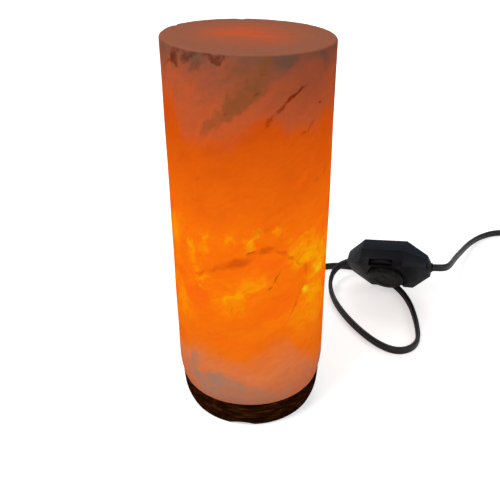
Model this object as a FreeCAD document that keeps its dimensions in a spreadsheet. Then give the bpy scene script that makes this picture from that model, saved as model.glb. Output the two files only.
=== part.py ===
import FreeCAD, Part
import math
import os
import Sketcher

# Salt crystal lamp: a bored salt cylinder on a turned wooden base, lit by a small screw-in
# bulb, with a flat flex that carries an inline rotary dimmer and a two-blade mains plug.
# Millimetres, +Z up, origin on the floor under the middle of the base.

SIZES = {
    # Salt cylinder
    "salt_radius": 51.2,
    "salt_height": 234.2,
    "salt_foot_radius": 48.9,
    "salt_foot_rise": 13.0,
    "salt_foot_rounding": 60.0,
    "salt_edge_rounding": 0.8,
    "top_slope": 0.0265,
    "top_rounding": 1.6,
    "cavity_radius": 23.0,
    "cavity_straight": 128.0,
    # Wooden base
    "base_radius": 49.4,
    "base_thickness": 20.5,
    "base_foot_inset": 4.2,
    "base_swell_inset": 1.0,
    "base_swell_height": 7.7,
    "base_side_rounding": 32.0,
    "base_rounding": 1.2,
    "recess_radius": 29.0,
    "recess_depth": 9.7,
    "bore_radius": 19.0,
    "groove_width": 9.8,
    "groove_depth": 9.6,
    "notch_width": 18.0,
    "notch_rise": 3.0,
    "notch_offset": 6.3,
    "notch_reach": 12.0,
    # Feet, base screws and their plugs
    "foot_height": 0.8,
    "foot_radius": 5.0,
    "foot_circle": 38.0,
    "base_fixings": 3,
    "screw_circle": 36.0,
    "screw_radius": 2.0,
    "screw_head_radius": 3.8,
    "screw_head_height": 2.6,
    "screw_sink_radius": 4.6,
    "screw_sink_depth": 8.0,
    "screw_reach": 20.0,
    "screw_play": 0.2,
    "plug_radius": 4.0,
    "plug_length": 24.0,
    # Bulb holder
    "flange_radius": 25.0,
    "flange_thickness": 0.8,
    "holder_radius": 12.0,
    "holder_height": 34.0,
    "neck_radius": 9.5,
    "neck_drop": 3.2,
    "neck_play": 0.2,
    "chamber_radius": 7.6,
    "floor_thickness": 2.0,
    "floor_height": 10.0,
    "shell_bore_radius": 7.0,
    "cap_radius": 13.0,
    "cap_height": 7.3,
    "cap_wall": 1.6,
    "rivet_radius": 0.9,
    "rivet_spacing": 4.8,
    "contact_width": 3.0,
    "contact_thickness": 0.4,
    "contact_rise": 2.7,
    "clip_width": 8.0,
    "clip_thickness": 0.5,
    "clip_bore_gap": 0.8,
    # Bulb with a 12 mm screw cap
    "thread_radius": 5.95,
    "thread_depth": 0.4,
    "thread_pitch": 2.54,
    "thread_turns": 5,
    "thread_play": 0.43,
    "tip_radius": 2.2,
    "tip_height": 1.0,
    "insulator_height": 1.8,
    "cap_metal": 0.35,
    "glass_radius": 11.0,
    "glass_length": 41.0,
    "glass_wall": 0.8,
    "filament_height": 24.0,
    "filament_span": 4.6,
    "lead_radius": 0.3,
    "wire_radius": 0.9,
    "plate_spacing": 8.0,
    "plate_thickness": 0.8,
    "plate_height": 9.0,
    "plate_width": 5.0,
    "terminal_head_radius": 1.9,
    "terminal_head_length": 1.4,
    # Flat two-core flex
    "cord_width": 6.6,
    "cord_core": 1.8,
    "cord_rest": 0.05,
    "exit_height": 5.5,
    "nose_length": 20.0,
    "nose_radius": 4.7,
    "nose_tip_radius": 4.1,
    "grommet_reach": 10.0,
    "grommet_stand": 1.1,
    # Inline dimmer
    "dimmer_x": 125.1,
    "dimmer_y": 127.4,
    "dimmer_z": 29.0,
    "dimmer_turn": -29.9,
    "dimmer_tilt": 11.6,
    "dimmer_roll": 34.6,
    "case_straight": 39.0,
    "case_taper": 16.8,
    "case_width": 39.4,
    "case_depth": 25.4,
    "case_bulge": 1.7,
    "case_end_share": 0.45,
    "case_wall": 2.0,
    "parting_drop": 1.0,
    "gland_rise": 2.2,
    "gland_radius": 3.9,
    "gland_length": 7.0,
    "gland_reach": 3.0,
    "gland_collar": 0.4,
    "dial_radius": 15.5,
    "dial_proud": 4.5,
    "dial_rim_radius": 20.4,
    "dial_rim_height": 2.4,
    "dial_gap": 0.6,
    "dial_opening_radius": 16.1,
    "dial_flute_radius": 1.5,
    "dial_flutes": 18,
    "dial_hub_radius": 5.0,
    "shaft_radius": 3.0,
    "pot_radius": 8.5,
    "pot_height": 6.2,
    "board_play": 0.1,
    "board_width": 31.0,
    "post_radius": 1.5,
    "post_x": 17.0,
    "post_y": 12.0,
    "board_thickness": 1.6,
    "board_drop": 3.0,
    "boss_radius": 3.0,
    "boss_x": 25.0,
    "boss_y": 9.6,
    "case_screw_radius": 1.25,
    "case_screw_head": 2.4,
    "case_screw_head_height": 1.8,
    "case_screw_seat": 7.2,
    "case_screw_reach": 6.0,
    "bridge_length": 6.0,
    "bridge_height": 2.4,
    "sink_length": 24.0,
    "sink_width": 20.0,
    "sink_thickness": 1.0,
    "choke_radius": 4.0,
    "choke_thickness": 1.7,
    # Coil of the unseen length, its tie and the plug
    "coil_x": 302.0,
    "coil_y": 163.0,
    "coil_radius": 36.3,
    "coil_columns": 3,
    "coil_layers": 2,
    "coil_entry_angle": 50.0,
    "tie_thickness": 0.8,
    "tie_width": 6.0,
    "tie_play": 0.3,
    "mains_plug_length": 30.0,
    "mains_plug_width": 27.0,
    "mains_plug_height": 12.6,
    "mains_plug_rounding": 3.5,
    "mains_plug_y": 88.0,
    "relief_length": 24.0,
    "relief_radius": 5.2,
    "relief_tip_radius": 4.1,
    "blade_spacing": 12.7,
    "blade_width": 6.35,
    "blade_thickness": 1.5,
    "blade_length": 17.5,
    "blade_root": 8.0,
}

# The flex from the base's rear to the dimmer, as it lies on the floor. It loops towards the
# front, climbs at the end and turns back into the dimmer's left gland.
LAMP_SIDE_ROUTE = [
    (0.0, 76.0, 5.5),
    (1.6, 87.0, 4.2),
    (6.0, 99.0, 3.35),
    (17.0, 121.0, 3.35),
    (36.0, 145.0, 3.35),
    (60.0, 163.0, 3.35),
    (85.0, 169.5, 3.35),
    (106.0, 163.5, 3.35),
    (124.0, 147.0, 3.35),
    (136.0, 127.0, 3.35),
    (141.0, 104.0, 3.35),
    (141.0, 81.0, 3.35),
    (139.0, 60.0, 3.35),
    (136.0, 46.0, 3.35),
    (128.0, 35.5, 3.35),
    (116.5, 32.5, 3.35),
    (105.0, 39.5, 3.35),
    (94.0, 55.0, 3.35),
    (84.0, 75.5, 3.35),
    (76.5, 98.0, 3.35),
    (73.0, 116.0, 4.8),
    (73.2, 129.0, 7.8),
    (75.8, 138.5, 11.0),
    (80.2, 144.6, 14.3),
    (85.9, 146.6, 17.9),
]

# The flex from the dimmer's right gland down to the floor and off to the coil.
PLUG_SIDE_ROUTE = [
    (163.3, 106.8, 36.2),
    (168.3, 108.2, 35.3),
    (172.6, 111.8, 34.0),
    (176.6, 118.0, 32.0),
    (182.0, 128.5, 28.4),
    (190.5, 147.0, 22.4),
    (204.0, 173.0, 13.8),
    (221.0, 202.0, 7.2),
    (239.0, 223.0, 4.2),
    (258.0, 233.0, 4.15),
    (278.0, 232.0, 4.15),
    (296.5, 222.5, 4.15),
    (312.7, 210.0, 4.15),
]

# The flex from the coil's upper layer down to the plug's strain relief.
TAIL_ROUTE = [
    (344.9, 150.0, 10.2),
    (345.3, 137.0, 8.2),
    (345.3, 124.0, 6.6),
]

DOC = FreeCAD.newDocument("salt_crystal_lamp")
SHEET = DOC.addObject("Spreadsheet::Sheet", "Sizes")
UP = FreeCAD.Vector(0, 0, 1)
ORIGIN = FreeCAD.Vector(0, 0, 0)
SUBPARTS = []


class Term:
    """A length that is kept both as its value and as a formula of the sheet's cells."""

    def __init__(self, text, value):
        self.text = text
        self.value = float(value)

    def joined(self, sign, other, value):
        return Term(f"({self.text} {sign} {as_term(other).text})", value)

    def __add__(self, other):
        return self.joined("+", other, self.value + as_term(other).value)

    def __sub__(self, other):
        return self.joined("-", other, self.value - as_term(other).value)

    def __mul__(self, other):
        return self.joined("*", other, self.value * as_term(other).value)

    def __truediv__(self, other):
        return self.joined("/", other, self.value / as_term(other).value)

    def __neg__(self):
        return Term(f"(0 - {self.text})", -self.value)

    def __radd__(self, other):
        return as_term(other) + self

    def __rsub__(self, other):
        return as_term(other) - self


def as_term(number):
    return number if isinstance(number, Term) else Term(f"{number:g}", number)


def root(term):
    return Term(f"sqrt({term.text})", math.sqrt(term.value))


class Sheet:
    """Gives each size of the sheet as a term, by its name."""

    def __getattr__(self, name):
        return Term(f"Sizes.{name}", SIZES[name])


S = Sheet()
ZERO = as_term(0)


def fill_sheet():
    for row, (name, number) in enumerate(SIZES.items(), start=1):
        SHEET.set(f"A{row}", name)
        SHEET.set(f"B{row}", str(number))
        SHEET.setAlias(f"B{row}", name)
    DOC.recompute()


# Sketches and bodies

def new_body(label):
    body = DOC.addObject("PartDesign::Body", label)
    body.Label = label
    body.AllowCompound = True
    SUBPARTS.append(body)
    return body


def origin_of(body, role):
    return next(f for f in body.Origin.OriginFeatures if f.Role == role)


def new_sketch(body, plane, offset=ZERO):
    sketch = body.newObject("Sketcher::SketchObject", f"{body.Name}_sketch")
    sketch.AttachmentSupport = [(origin_of(body, plane), "")]
    sketch.MapMode = "FlatFace"
    if offset.text != "0":
        sketch.setExpression("AttachmentOffset.Base.z", offset.text)
    return sketch


def pin_point(sketch, geometry, end, across, up):
    """Holds a point of the sketch at its two distances from the origin."""
    for kind, axis, distance in (("DistanceX", -2, across), ("DistanceY", -1, up)):
        distance = as_term(distance)
        if distance.text == "0":
            sketch.addConstraint(Sketcher.Constraint("PointOnObject", geometry, end, axis))
            continue
        held = Sketcher.Constraint(kind, -1, 1, geometry, end, distance.value)
        index = sketch.addConstraint(held)
        sketch.setExpression(f"Constraints[{index}]", distance.text)


def draw_outline(sketch, corners):
    """A closed outline of straight lines whose corners are pairs of lengths."""
    corners = [(as_term(across), as_term(up)) for across, up in corners]
    first = sketch.GeometryCount
    points = [FreeCAD.Vector(across.value, up.value, 0) for across, up in corners]
    count = len(points)
    for i in range(count):
        sketch.addGeometry(Part.LineSegment(points[i], points[(i + 1) % count]))
    for i in range(count):
        follower = first + (i + 1) % count
        sketch.addConstraint(Sketcher.Constraint("Coincident", first + i, 2, follower, 1))
    for i, (across, up) in enumerate(corners):
        pin_point(sketch, first + i, 1, across, up)


def draw_circle(sketch, across, up, radius):
    across, up, radius = as_term(across), as_term(up), as_term(radius)
    centre = FreeCAD.Vector(across.value, up.value, 0)
    geometry = sketch.addGeometry(Part.Circle(centre, UP, radius.value))
    pin_point(sketch, geometry, 3, across, up)
    index = sketch.addConstraint(Sketcher.Constraint("Radius", geometry, radius.value))
    sketch.setExpression(f"Constraints[{index}]", radius.text)


def box_corners(left, right, low, high):
    return [(left, low), (right, low), (right, high), (left, high)]


def add_feature(body, kind, sketch, length=None, middle=False, reverse=False):
    """Adds a pad, a pocket or another feature of one sketch to the body."""
    feature = body.newObject(f"PartDesign::{kind}", f"{body.Name}_{kind.lower()}")
    feature.Profile = sketch
    if length is not None:
        feature.Length = length.value
        feature.setExpression("Length", length.text)
    if kind in ("Pad", "Pocket"):
        feature.Midplane = middle
        feature.Reversed = reverse
    sketch.Visibility = False
    DOC.recompute()
    return feature


def revolve(body, corners, kind="Revolution"):
    """Turns an outline of radii and heights once around the body's Z axis."""
    sketch = new_sketch(body, "XZ_Plane")
    draw_outline(sketch, corners)
    feature = body.newObject(f"PartDesign::{kind}", f"{body.Name}_{kind.lower()}")
    feature.Profile = sketch
    feature.ReferenceAxis = (sketch, ["V_Axis"])
    feature.Angle = 360
    sketch.Visibility = False
    DOC.recompute()
    return feature


def turned(label, corners):
    body = new_body(label)
    revolve(body, corners)
    return body


def repeat_around(body, features, count):
    """Repeats features evenly around the body's Z axis."""
    pattern = body.newObject("PartDesign::PolarPattern", f"{body.Name}_pattern")
    pattern.Originals = features
    pattern.Axis = (origin_of(body, "Z_Axis"), [""])
    pattern.Angle = 360
    pattern.Occurrences = int(count.value)
    pattern.setExpression("Occurrences", count.text)
    body.Tip = pattern
    DOC.recompute()
    return pattern


def round_edges(body, feature, wanted, radius):
    """Rounds the edges of the feature that the test picks."""
    names = [
        f"Edge{i}"
        for i, edge in enumerate(feature.Shape.Edges, start=1)
        if wanted(edge)
    ]
    fillet = body.newObject("PartDesign::Fillet", f"{body.Name}_fillet")
    fillet.Base = (feature, names)
    fillet.Radius = radius.value
    fillet.setExpression("Radius", radius.text)
    DOC.recompute()
    return fillet


def is_ring_at(height, radius, reach=0.01):
    """A test for the round edges that lie at a height and have a radius."""

    def wanted(edge):
        box = edge.BoundBox
        flat = abs(box.ZMin - height.value) < reach and abs(box.ZMax - height.value) < reach
        curve = edge.Curve
        return flat and hasattr(curve, "Radius") and abs(curve.Radius - radius.value) < reach

    return wanted


def primitive(kind, name, sizes, place=None):
    """A Part primitive whose sizes are formulas of the sheet."""
    solid = DOC.addObject(f"Part::{kind}", name)
    for prop, length in sizes.items():
        length = as_term(length)
        setattr(solid, prop, length.value)
        solid.setExpression(prop, length.text)
    solid.Placement = place or FreeCAD.Placement()
    return solid


def combine(kind, label, solids, place=None, listed=True):
    """A boolean or a compound of other solids."""
    result = DOC.addObject(f"Part::{kind}", label)
    if kind == "Cut":
        result.Base, result.Tool = solids
    elif kind == "Compound":
        result.Links = solids
    else:
        result.Shapes = solids
    result.Label = label
    if place:
        result.Placement = place
    if listed:
        SUBPARTS.append(result)
    DOC.recompute()
    return result


def shaped(label, shape, place=None):
    """A sub-part whose shape is worked out from the sheet's sizes."""
    feature = DOC.addObject("Part::Feature", label)
    feature.Label = label
    feature.Shape = shape
    if place:
        feature.Placement = place
    SUBPARTS.append(feature)
    return feature


def at(x, y, z, axis=UP, angle=0):
    spot = FreeCAD.Vector(*(as_term(length).value for length in (x, y, z)))
    return FreeCAD.Placement(spot, FreeCAD.Rotation(axis, angle))


# Heights of the lamp's stack, from the floor up

UNDERSIDE = S.foot_height
BASE_TOP = UNDERSIDE + S.base_thickness
RECESS_TOP = UNDERSIDE + S.recess_depth
SALT_TOP = BASE_TOP + S.salt_height
FLANGE_LOW = RECESS_TOP - S.flange_thickness
NECK_LOW = FLANGE_LOW - S.neck_drop
FLOOR_LOW = RECESS_TOP + S.floor_height
FLOOR_TOP = FLOOR_LOW + S.floor_thickness
HOLDER_TOP = RECESS_TOP + S.holder_height
TIP_LOW = FLOOR_TOP + S.contact_thickness + S.contact_rise
INSULATOR_LOW = TIP_LOW + S.tip_height
THREAD_LOW = INSULATOR_LOW + S.insulator_height
THREAD_TOP = THREAD_LOW + S.thread_pitch * S.thread_turns
CAP_TOP = THREAD_TOP + S.thread_pitch
GLASS_LOW = THREAD_TOP
GROMMET_FACE = S.base_radius - S.base_foot_inset + S.grommet_stand


# The lamp's body

def make_salt():
    body = new_body("salt_cylinder")
    slack = as_term(4)
    outline = [
        (S.cavity_radius, BASE_TOP),
        (S.salt_foot_radius, BASE_TOP),
        (S.salt_radius, BASE_TOP + S.salt_foot_rise),
        (S.salt_radius, SALT_TOP + slack),
        (ZERO, SALT_TOP + slack),
        (ZERO, BASE_TOP + S.cavity_straight + S.cavity_radius * 0.6),
        (S.cavity_radius, BASE_TOP + S.cavity_straight),
    ]
    revolve(body, outline)
    sketch = new_sketch(body, "XZ_Plane")
    reach = S.salt_radius * 1.2
    fall = reach * S.top_slope
    draw_outline(sketch, [
        (-reach, SALT_TOP + fall),
        (reach, SALT_TOP - fall),
        (reach, SALT_TOP + slack * 2),
        (-reach, SALT_TOP + slack * 2),
    ])
    sawn = add_feature(body, "Pocket", sketch, reach * 2, middle=True)
    low = SALT_TOP.value - fall.value
    rounded = round_edges(body, sawn, lambda e: e.BoundBox.ZMin > low, S.top_rounding)
    foot = is_ring_at(BASE_TOP + S.salt_foot_rise, S.salt_radius)
    rounded = round_edges(body, rounded, foot, S.salt_foot_rounding)
    round_edges(body, rounded, is_ring_at(BASE_TOP, S.salt_foot_radius), S.salt_edge_rounding)
    sketch = new_sketch(body, "XY_Plane", BASE_TOP)
    draw_circle(sketch, S.screw_circle, 0, S.plug_radius)
    hole = add_feature(body, "Pocket", sketch, S.plug_length + 0.6, reverse=True)
    repeat_around(body, [hole], S.base_fixings)


def make_base():
    """A turned disc whose side swells out from its foot to its top."""
    body = new_body("wood_base")
    swell = UNDERSIDE + S.base_swell_height
    swell_radius = S.base_radius - S.base_swell_inset
    disc = revolve(body, [
        (S.bore_radius, RECESS_TOP),
        (S.recess_radius, RECESS_TOP),
        (S.recess_radius, UNDERSIDE),
        (S.base_radius - S.base_foot_inset, UNDERSIDE),
        (swell_radius, swell),
        (S.base_radius, BASE_TOP),
        (S.bore_radius, BASE_TOP),
    ])

    def is_rim(edge):
        low = is_ring_at(UNDERSIDE, S.base_radius - S.base_foot_inset)
        high = is_ring_at(BASE_TOP, S.base_radius)
        return low(edge) or high(edge)

    side = round_edges(body, disc, is_ring_at(swell, swell_radius), S.base_side_rounding)
    round_edges(body, side, is_rim, S.base_rounding)
    groove = new_sketch(body, "XY_Plane", UNDERSIDE)
    half = S.groove_width / 2
    draw_outline(groove, box_corners(-half, half, S.bore_radius, S.base_radius + 1))
    add_feature(body, "Pocket", groove, S.groove_depth, reverse=True)
    # The notch is an arc of the width and rise given, cut in from the front.
    arc_radius = (S.notch_width * S.notch_width / 4 + S.notch_rise * S.notch_rise) / (S.notch_rise * 2)
    notch = new_sketch(body, "XZ_Plane", S.base_radius - S.notch_reach)
    draw_circle(notch, -S.notch_offset, UNDERSIDE + S.notch_rise - arc_radius, arc_radius)
    add_feature(body, "Pocket", notch, S.notch_reach + 1, reverse=True)
    sketch = new_sketch(body, "XY_Plane", UNDERSIDE)
    draw_circle(sketch, S.screw_circle, 0, S.screw_sink_radius)
    sink = add_feature(body, "Pocket", sketch, S.screw_sink_depth, reverse=True)
    sketch = new_sketch(body, "XY_Plane", UNDERSIDE)
    draw_circle(sketch, S.screw_circle, 0, S.screw_radius + S.screw_play)
    hole = add_feature(body, "Pocket", sketch, S.base_thickness + 1, reverse=True)
    repeat_around(body, [sink, hole], S.base_fixings)


def make_feet():
    body = new_body("base_feet")
    sketch = new_sketch(body, "XY_Plane")
    draw_circle(sketch, -S.foot_circle, 0, S.foot_radius)
    pad = add_feature(body, "Pad", sketch, S.foot_height)
    repeat_around(body, [pad], S.base_fixings)


def ring_of(label, corners):
    """Turned pieces that stand on the screw circle, one over each fixing."""
    count = SIZES["base_fixings"]
    single = new_body(f"{label}_single")
    SUBPARTS.remove(single)
    revolve(single, corners)
    copies = []
    for i in range(count):
        turn = FreeCAD.Rotation(UP, 360 * i / count)
        spot = turn.multVec(FreeCAD.Vector(SIZES["screw_circle"], 0, 0))
        copies.append(single.Shape.transformed(FreeCAD.Placement(spot, turn).toMatrix()))
    shaped(label, Part.makeCompound(copies))


def make_base_screws():
    head_top = UNDERSIDE + S.screw_sink_depth
    head_low = head_top - S.screw_head_height
    tip = BASE_TOP + S.screw_reach
    ring_of("base_screws", [
        (ZERO, head_low + 1.2),
        (0.9, head_low + 1.2),
        (0.9, head_low),
        (S.screw_head_radius - 0.9, head_low),
        (S.screw_head_radius, head_low + 0.9),
        (S.screw_head_radius, head_top),
        (S.screw_radius, head_top),
        (S.screw_radius, tip - 4),
        (ZERO, tip),
    ])


def make_wall_plugs():
    low = BASE_TOP + 0.3
    high = BASE_TOP + S.plug_length
    bore_top = BASE_TOP + S.screw_reach + 1
    ring_of("wall_plugs", [
        (S.screw_radius, low),
        (S.plug_radius, low),
        (S.plug_radius, high - 2),
        (S.plug_radius - 1, high),
        (ZERO, high),
        (ZERO, bore_top),
        (S.screw_radius, bore_top - 4),
    ])


# Bulb holder

def make_holder_body():
    body = turned("holder_body", [
        (S.chamber_radius, NECK_LOW),
        (S.neck_radius, NECK_LOW),
        (S.neck_radius, RECESS_TOP),
        (S.holder_radius, RECESS_TOP),
        (S.holder_radius, HOLDER_TOP - 1),
        (S.holder_radius - 1, HOLDER_TOP),
        (S.shell_bore_radius, HOLDER_TOP),
        (S.shell_bore_radius, FLOOR_TOP),
        (ZERO, FLOOR_TOP),
        (ZERO, FLOOR_LOW),
        (S.chamber_radius, FLOOR_LOW),
    ])
    sketch = new_sketch(body, "XY_Plane", FLOOR_LOW)
    draw_circle(sketch, 0, S.rivet_spacing, S.rivet_radius)
    draw_circle(sketch, 0, 0, S.rivet_radius)
    add_feature(body, "Pocket", sketch, S.floor_thickness, reverse=True)


def make_holder_flange():
    turned("holder_flange", [
        (S.neck_radius + S.neck_play, FLANGE_LOW),
        (S.flange_radius, FLANGE_LOW),
        (S.flange_radius, RECESS_TOP),
        (S.neck_radius + S.neck_play, RECESS_TOP),
    ])


def make_holder_cap():
    low = FLANGE_LOW - S.cap_height
    inner = S.neck_radius + S.neck_play
    body = turned("holder_cap", [
        (ZERO, low),
        (S.cap_radius - 1.5, low),
        (S.cap_radius, low + 1.5),
        (S.cap_radius, FLANGE_LOW),
        (inner, FLANGE_LOW),
        (inner, low + S.cap_wall),
        (ZERO, low + S.cap_wall),
    ])
    half_width = S.cord_width / 2 + 0.2
    half_height = S.cord_core + 0.2
    entry = new_sketch(body, "XZ_Plane")
    low_side = S.exit_height - half_height
    high_side = S.exit_height + half_height
    draw_outline(entry, box_corners(-half_width, half_width, low_side, high_side))
    add_feature(body, "Pocket", entry, S.cap_radius + 1)


def make_spring_clips():
    body = new_body("spring_clips")
    inner = S.holder_radius + 0.05
    outer = inner + S.clip_thickness
    bulge = S.bore_radius - S.clip_bore_gap
    wood_middle = BASE_TOP - (BASE_TOP - RECESS_TOP) / 3
    profile = new_sketch(body, "XZ_Plane")
    draw_outline(profile, [
        (inner, HOLDER_TOP - 8),
        (inner, HOLDER_TOP - 14),
        (bulge - S.clip_thickness, wood_middle),
        (bulge - S.clip_thickness - 2, RECESS_TOP + 1),
        (bulge - 2, RECESS_TOP + 1),
        (bulge, wood_middle),
        (outer, HOLDER_TOP - 14 + S.clip_thickness),
        (outer, HOLDER_TOP - 8),
    ])
    strip = add_feature(body, "Pad", profile, S.clip_width, middle=True)
    repeat_around(body, [strip], as_term(2))


def ridges(radius, depth, low, pitch, turns):
    """Corners of a rolled thread seen from the side, as rings, from low to high."""
    corners = []
    for i in range(turns):
        foot = low + pitch * i
        corners.append((radius - depth, foot))
        corners.append((radius, foot + pitch * 0.5))
    corners.append((radius - depth, low + pitch * turns))
    return corners


def make_screw_shell():
    radius = S.thread_radius + S.thread_play
    turns = SIZES["thread_turns"]
    metal = S.cap_metal
    inside = ridges(radius, S.thread_depth, THREAD_LOW, S.thread_pitch, turns)
    outside = ridges(radius + metal, S.thread_depth, THREAD_LOW, S.thread_pitch, turns)
    hole = S.tip_radius + 1
    outline = [
        (hole, FLOOR_TOP),
        (radius + metal - S.thread_depth, FLOOR_TOP),
        *outside,
        (radius + metal - S.thread_depth, CAP_TOP),
        (radius - S.thread_depth, CAP_TOP),
        *reversed(inside),
        (radius - S.thread_depth, FLOOR_TOP + metal),
        (hole, FLOOR_TOP + metal),
    ]
    turned("screw_shell", outline)


def make_centre_contact():
    body = new_body("centre_contact")
    metal = S.contact_thickness
    reach = S.tip_radius + 0.2
    high = TIP_LOW - 0.05
    profile = new_sketch(body, "XZ_Plane")
    draw_outline(profile, [
        (-reach, FLOOR_TOP),
        (reach + metal, FLOOR_TOP),
        (reach + metal, FLOOR_TOP + metal),
        (-0.6, high),
        (-2, high),
        (-2, high - metal),
        (-0.8, high - metal),
        (reach - metal, FLOOR_TOP + metal),
        (-reach, FLOOR_TOP + metal),
    ])
    add_feature(body, "Pad", profile, S.contact_width, middle=True)


def make_contact_rivets():
    sizes = {"Radius": S.rivet_radius, "Height": S.floor_thickness}
    middle = primitive("Cylinder", "rivet_middle", sizes, at(0, 0, FLOOR_LOW))
    side = primitive("Cylinder", "rivet_side", sizes, at(0, S.rivet_spacing, FLOOR_LOW))
    combine("Compound", "contact_rivets", [middle, side])


def make_terminals():
    plates = []
    screws = []
    screw_length = S.terminal_head_length
    screw_height = FLOOR_LOW - S.plate_height * 0.55
    inner = S.plate_spacing / 2
    for side, name in ((1, "right"), (-1, "left")):
        left = inner if side > 0 else -inner - S.plate_thickness
        plates.append(primitive(
            "Box",
            f"plate_{name}",
            {"Length": S.plate_thickness, "Width": S.plate_width, "Height": S.plate_height},
            at(left, -S.plate_width / 2, FLOOR_LOW - S.plate_height),
        ))
        screws.append(primitive(
            "Cylinder",
            f"terminal_head_{name}",
            {"Radius": S.terminal_head_radius, "Height": screw_length},
            at((inner - screw_length).value * side, 0, screw_height, FreeCAD.Vector(0, 1, 0), 90 * side),
        ))
    combine("Compound", "terminal_plates", plates)
    combine("Compound", "terminal_screws", screws)


def make_holder_wires():
    """The flex's two cores, bared of the sheath, up to the terminal screws."""
    wires = []
    radius = SIZES["wire_radius"]
    beside_screw = SIZES["terminal_head_radius"] + radius + 0.05
    against_plate = SIZES["plate_spacing"] / 2 - radius - 0.05
    start = (S.cap_radius - 2.6).value
    for side in (1, -1):
        path, _ = rounded_path([
            (1.5 * side, start, SIZES["exit_height"]),
            (1.5 * side, start - 2, SIZES["exit_height"]),
            (against_plate * side, beside_screw, SIZES["exit_height"]),
            (against_plate * side, beside_screw, (FLOOR_LOW - S.plate_height * 0.45).value),
        ])
        first = path.Vertexes[0].Point
        ahead = path.Edges[0].tangentAt(path.Edges[0].FirstParameter)
        section = Part.Wire([Part.Circle(first, ahead, radius).toShape()])
        wires.append(path.makePipeShell([section], True, False))
    shaped("holder_wires", Part.makeCompound(wires))


# Bulb

def make_bulb_cap():
    turns = SIZES["thread_turns"]
    metal = S.cap_metal
    outside = ridges(S.thread_radius, S.thread_depth, THREAD_LOW, S.thread_pitch, turns)
    inside = ridges(S.thread_radius - metal, S.thread_depth, THREAD_LOW, S.thread_pitch, turns)
    neck = S.thread_radius - S.thread_depth
    turned("bulb_screw_cap", [
        *outside,
        (neck, CAP_TOP),
        (neck - metal, CAP_TOP),
        *reversed(inside),
    ])


def make_bulb_insulator():
    edge = S.thread_radius - S.thread_depth - S.cap_metal
    turned("bulb_insulator", [
        (ZERO, INSULATOR_LOW),
        (S.tip_radius + 0.3, INSULATOR_LOW),
        (edge, THREAD_LOW),
        (edge, THREAD_LOW + 0.6),
        (ZERO, THREAD_LOW + 0.6),
    ])


def make_bulb_tip():
    turned("bulb_tip_contact", [
        (ZERO, TIP_LOW),
        (S.tip_radius * 0.5, TIP_LOW),
        (S.tip_radius, TIP_LOW + S.tip_height * 0.6),
        (S.tip_radius, INSULATOR_LOW),
        (ZERO, INSULATOR_LOW),
    ])


def glass_curve(wall):
    """The pear outline of the bulb's glass, moved inwards by the wall."""
    neck = (S.thread_radius - S.thread_depth - S.cap_metal).value - 0.1 - wall
    widest = S.glass_radius.value - wall
    low = GLASS_LOW.value
    length = S.glass_length.value
    middle = [
        (neck, low),
        (neck, low + 0.09 * length),
        (0.72 * widest, low + 0.26 * length),
        (widest, low + 0.50 * length),
        (0.72 * widest, low + 0.76 * length),
        (0.16 * widest, low + 0.975 * length - wall),
        (0.0, low + length - 1.2 * wall),
    ]
    curve = Part.BSplineCurve()
    curve.interpolate([FreeCAD.Vector(r, 0, z) for r, z in middle])
    return curve.toShape(), middle[0], middle[-1]


def make_bulb_glass():
    outer, outer_foot, outer_top = glass_curve(0.0)
    inner, inner_foot, inner_top = glass_curve(S.glass_wall.value)
    foot = Part.makeLine((outer_foot[0], 0, outer_foot[1]), (inner_foot[0], 0, inner_foot[1]))
    tip = Part.makeLine((outer_top[0], 0, outer_top[1]), (inner_top[0], 0, inner_top[1]))
    face = Part.Face(Part.Wire(Part.__sortEdges__([outer, tip, inner, foot])))
    shaped("bulb_glass", face.revolve(ORIGIN, UP, 360))


def make_glass_stem():
    inside = S.thread_radius - S.thread_depth - S.cap_metal - S.glass_wall - 0.3
    stem_top = GLASS_LOW + S.filament_height / 2
    turned("glass_stem", [
        (ZERO, GLASS_LOW),
        (inside, GLASS_LOW),
        (inside, GLASS_LOW + 1),
        (1.7, GLASS_LOW + 6),
        (1.7, stem_top - 2),
        (3, stem_top),
        (ZERO, stem_top),
    ])


def make_filament():
    stem_top = GLASS_LOW + S.filament_height / 2
    wire_top = GLASS_LOW + S.filament_height
    half = S.filament_span / 2
    length = wire_top - stem_top
    sizes = {"Radius": S.lead_radius, "Height": length}
    left = primitive("Cylinder", "lead_left", sizes, at(-half, 0, stem_top))
    right = primitive("Cylinder", "lead_right", sizes, at(half, 0, stem_top))
    combine("Compound", "lead_wires", [left, right])
    arch = Part.Arc(
        FreeCAD.Vector(-half.value, 0, wire_top.value),
        FreeCAD.Vector(0, 0, wire_top.value + half.value),
        FreeCAD.Vector(half.value, 0, wire_top.value),
    )
    path = Part.Wire([arch.toShape()])
    section = Part.Wire([Part.Circle(
        FreeCAD.Vector(-half.value, 0, wire_top.value), UP, S.lead_radius.value
    ).toShape()])
    shaped("filament", path.makePipeShell([section], True, False))


# Flex

def rounded_path(points):
    """Straight runs joined by arcs, each as large as its two runs allow."""
    points = [FreeCAD.Vector(*point) for point in points]
    edges = []
    radii = []
    start = points[0]
    for before, corner, after in zip(points, points[1:], points[2:]):
        arriving = (corner - before).normalize()
        leaving = (after - corner).normalize()
        half_turn = arriving.getAngle(leaving) / 2
        trimmed = 0.45 * min((corner - before).Length, (after - corner).Length)
        radius = trimmed / math.tan(half_turn)
        first = corner - arriving * trimmed
        last = corner + leaving * trimmed
        inwards = (leaving - arriving).normalize()
        middle = corner + inwards * (radius / math.cos(half_turn) - radius)
        edges.append(Part.LineSegment(start, first).toShape())
        edges.append(Part.Arc(first, middle, last).toShape())
        radii.append(radius)
        start = last
    edges.append(Part.LineSegment(start, points[-1]).toShape())
    return Part.Wire(edges), radii


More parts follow.
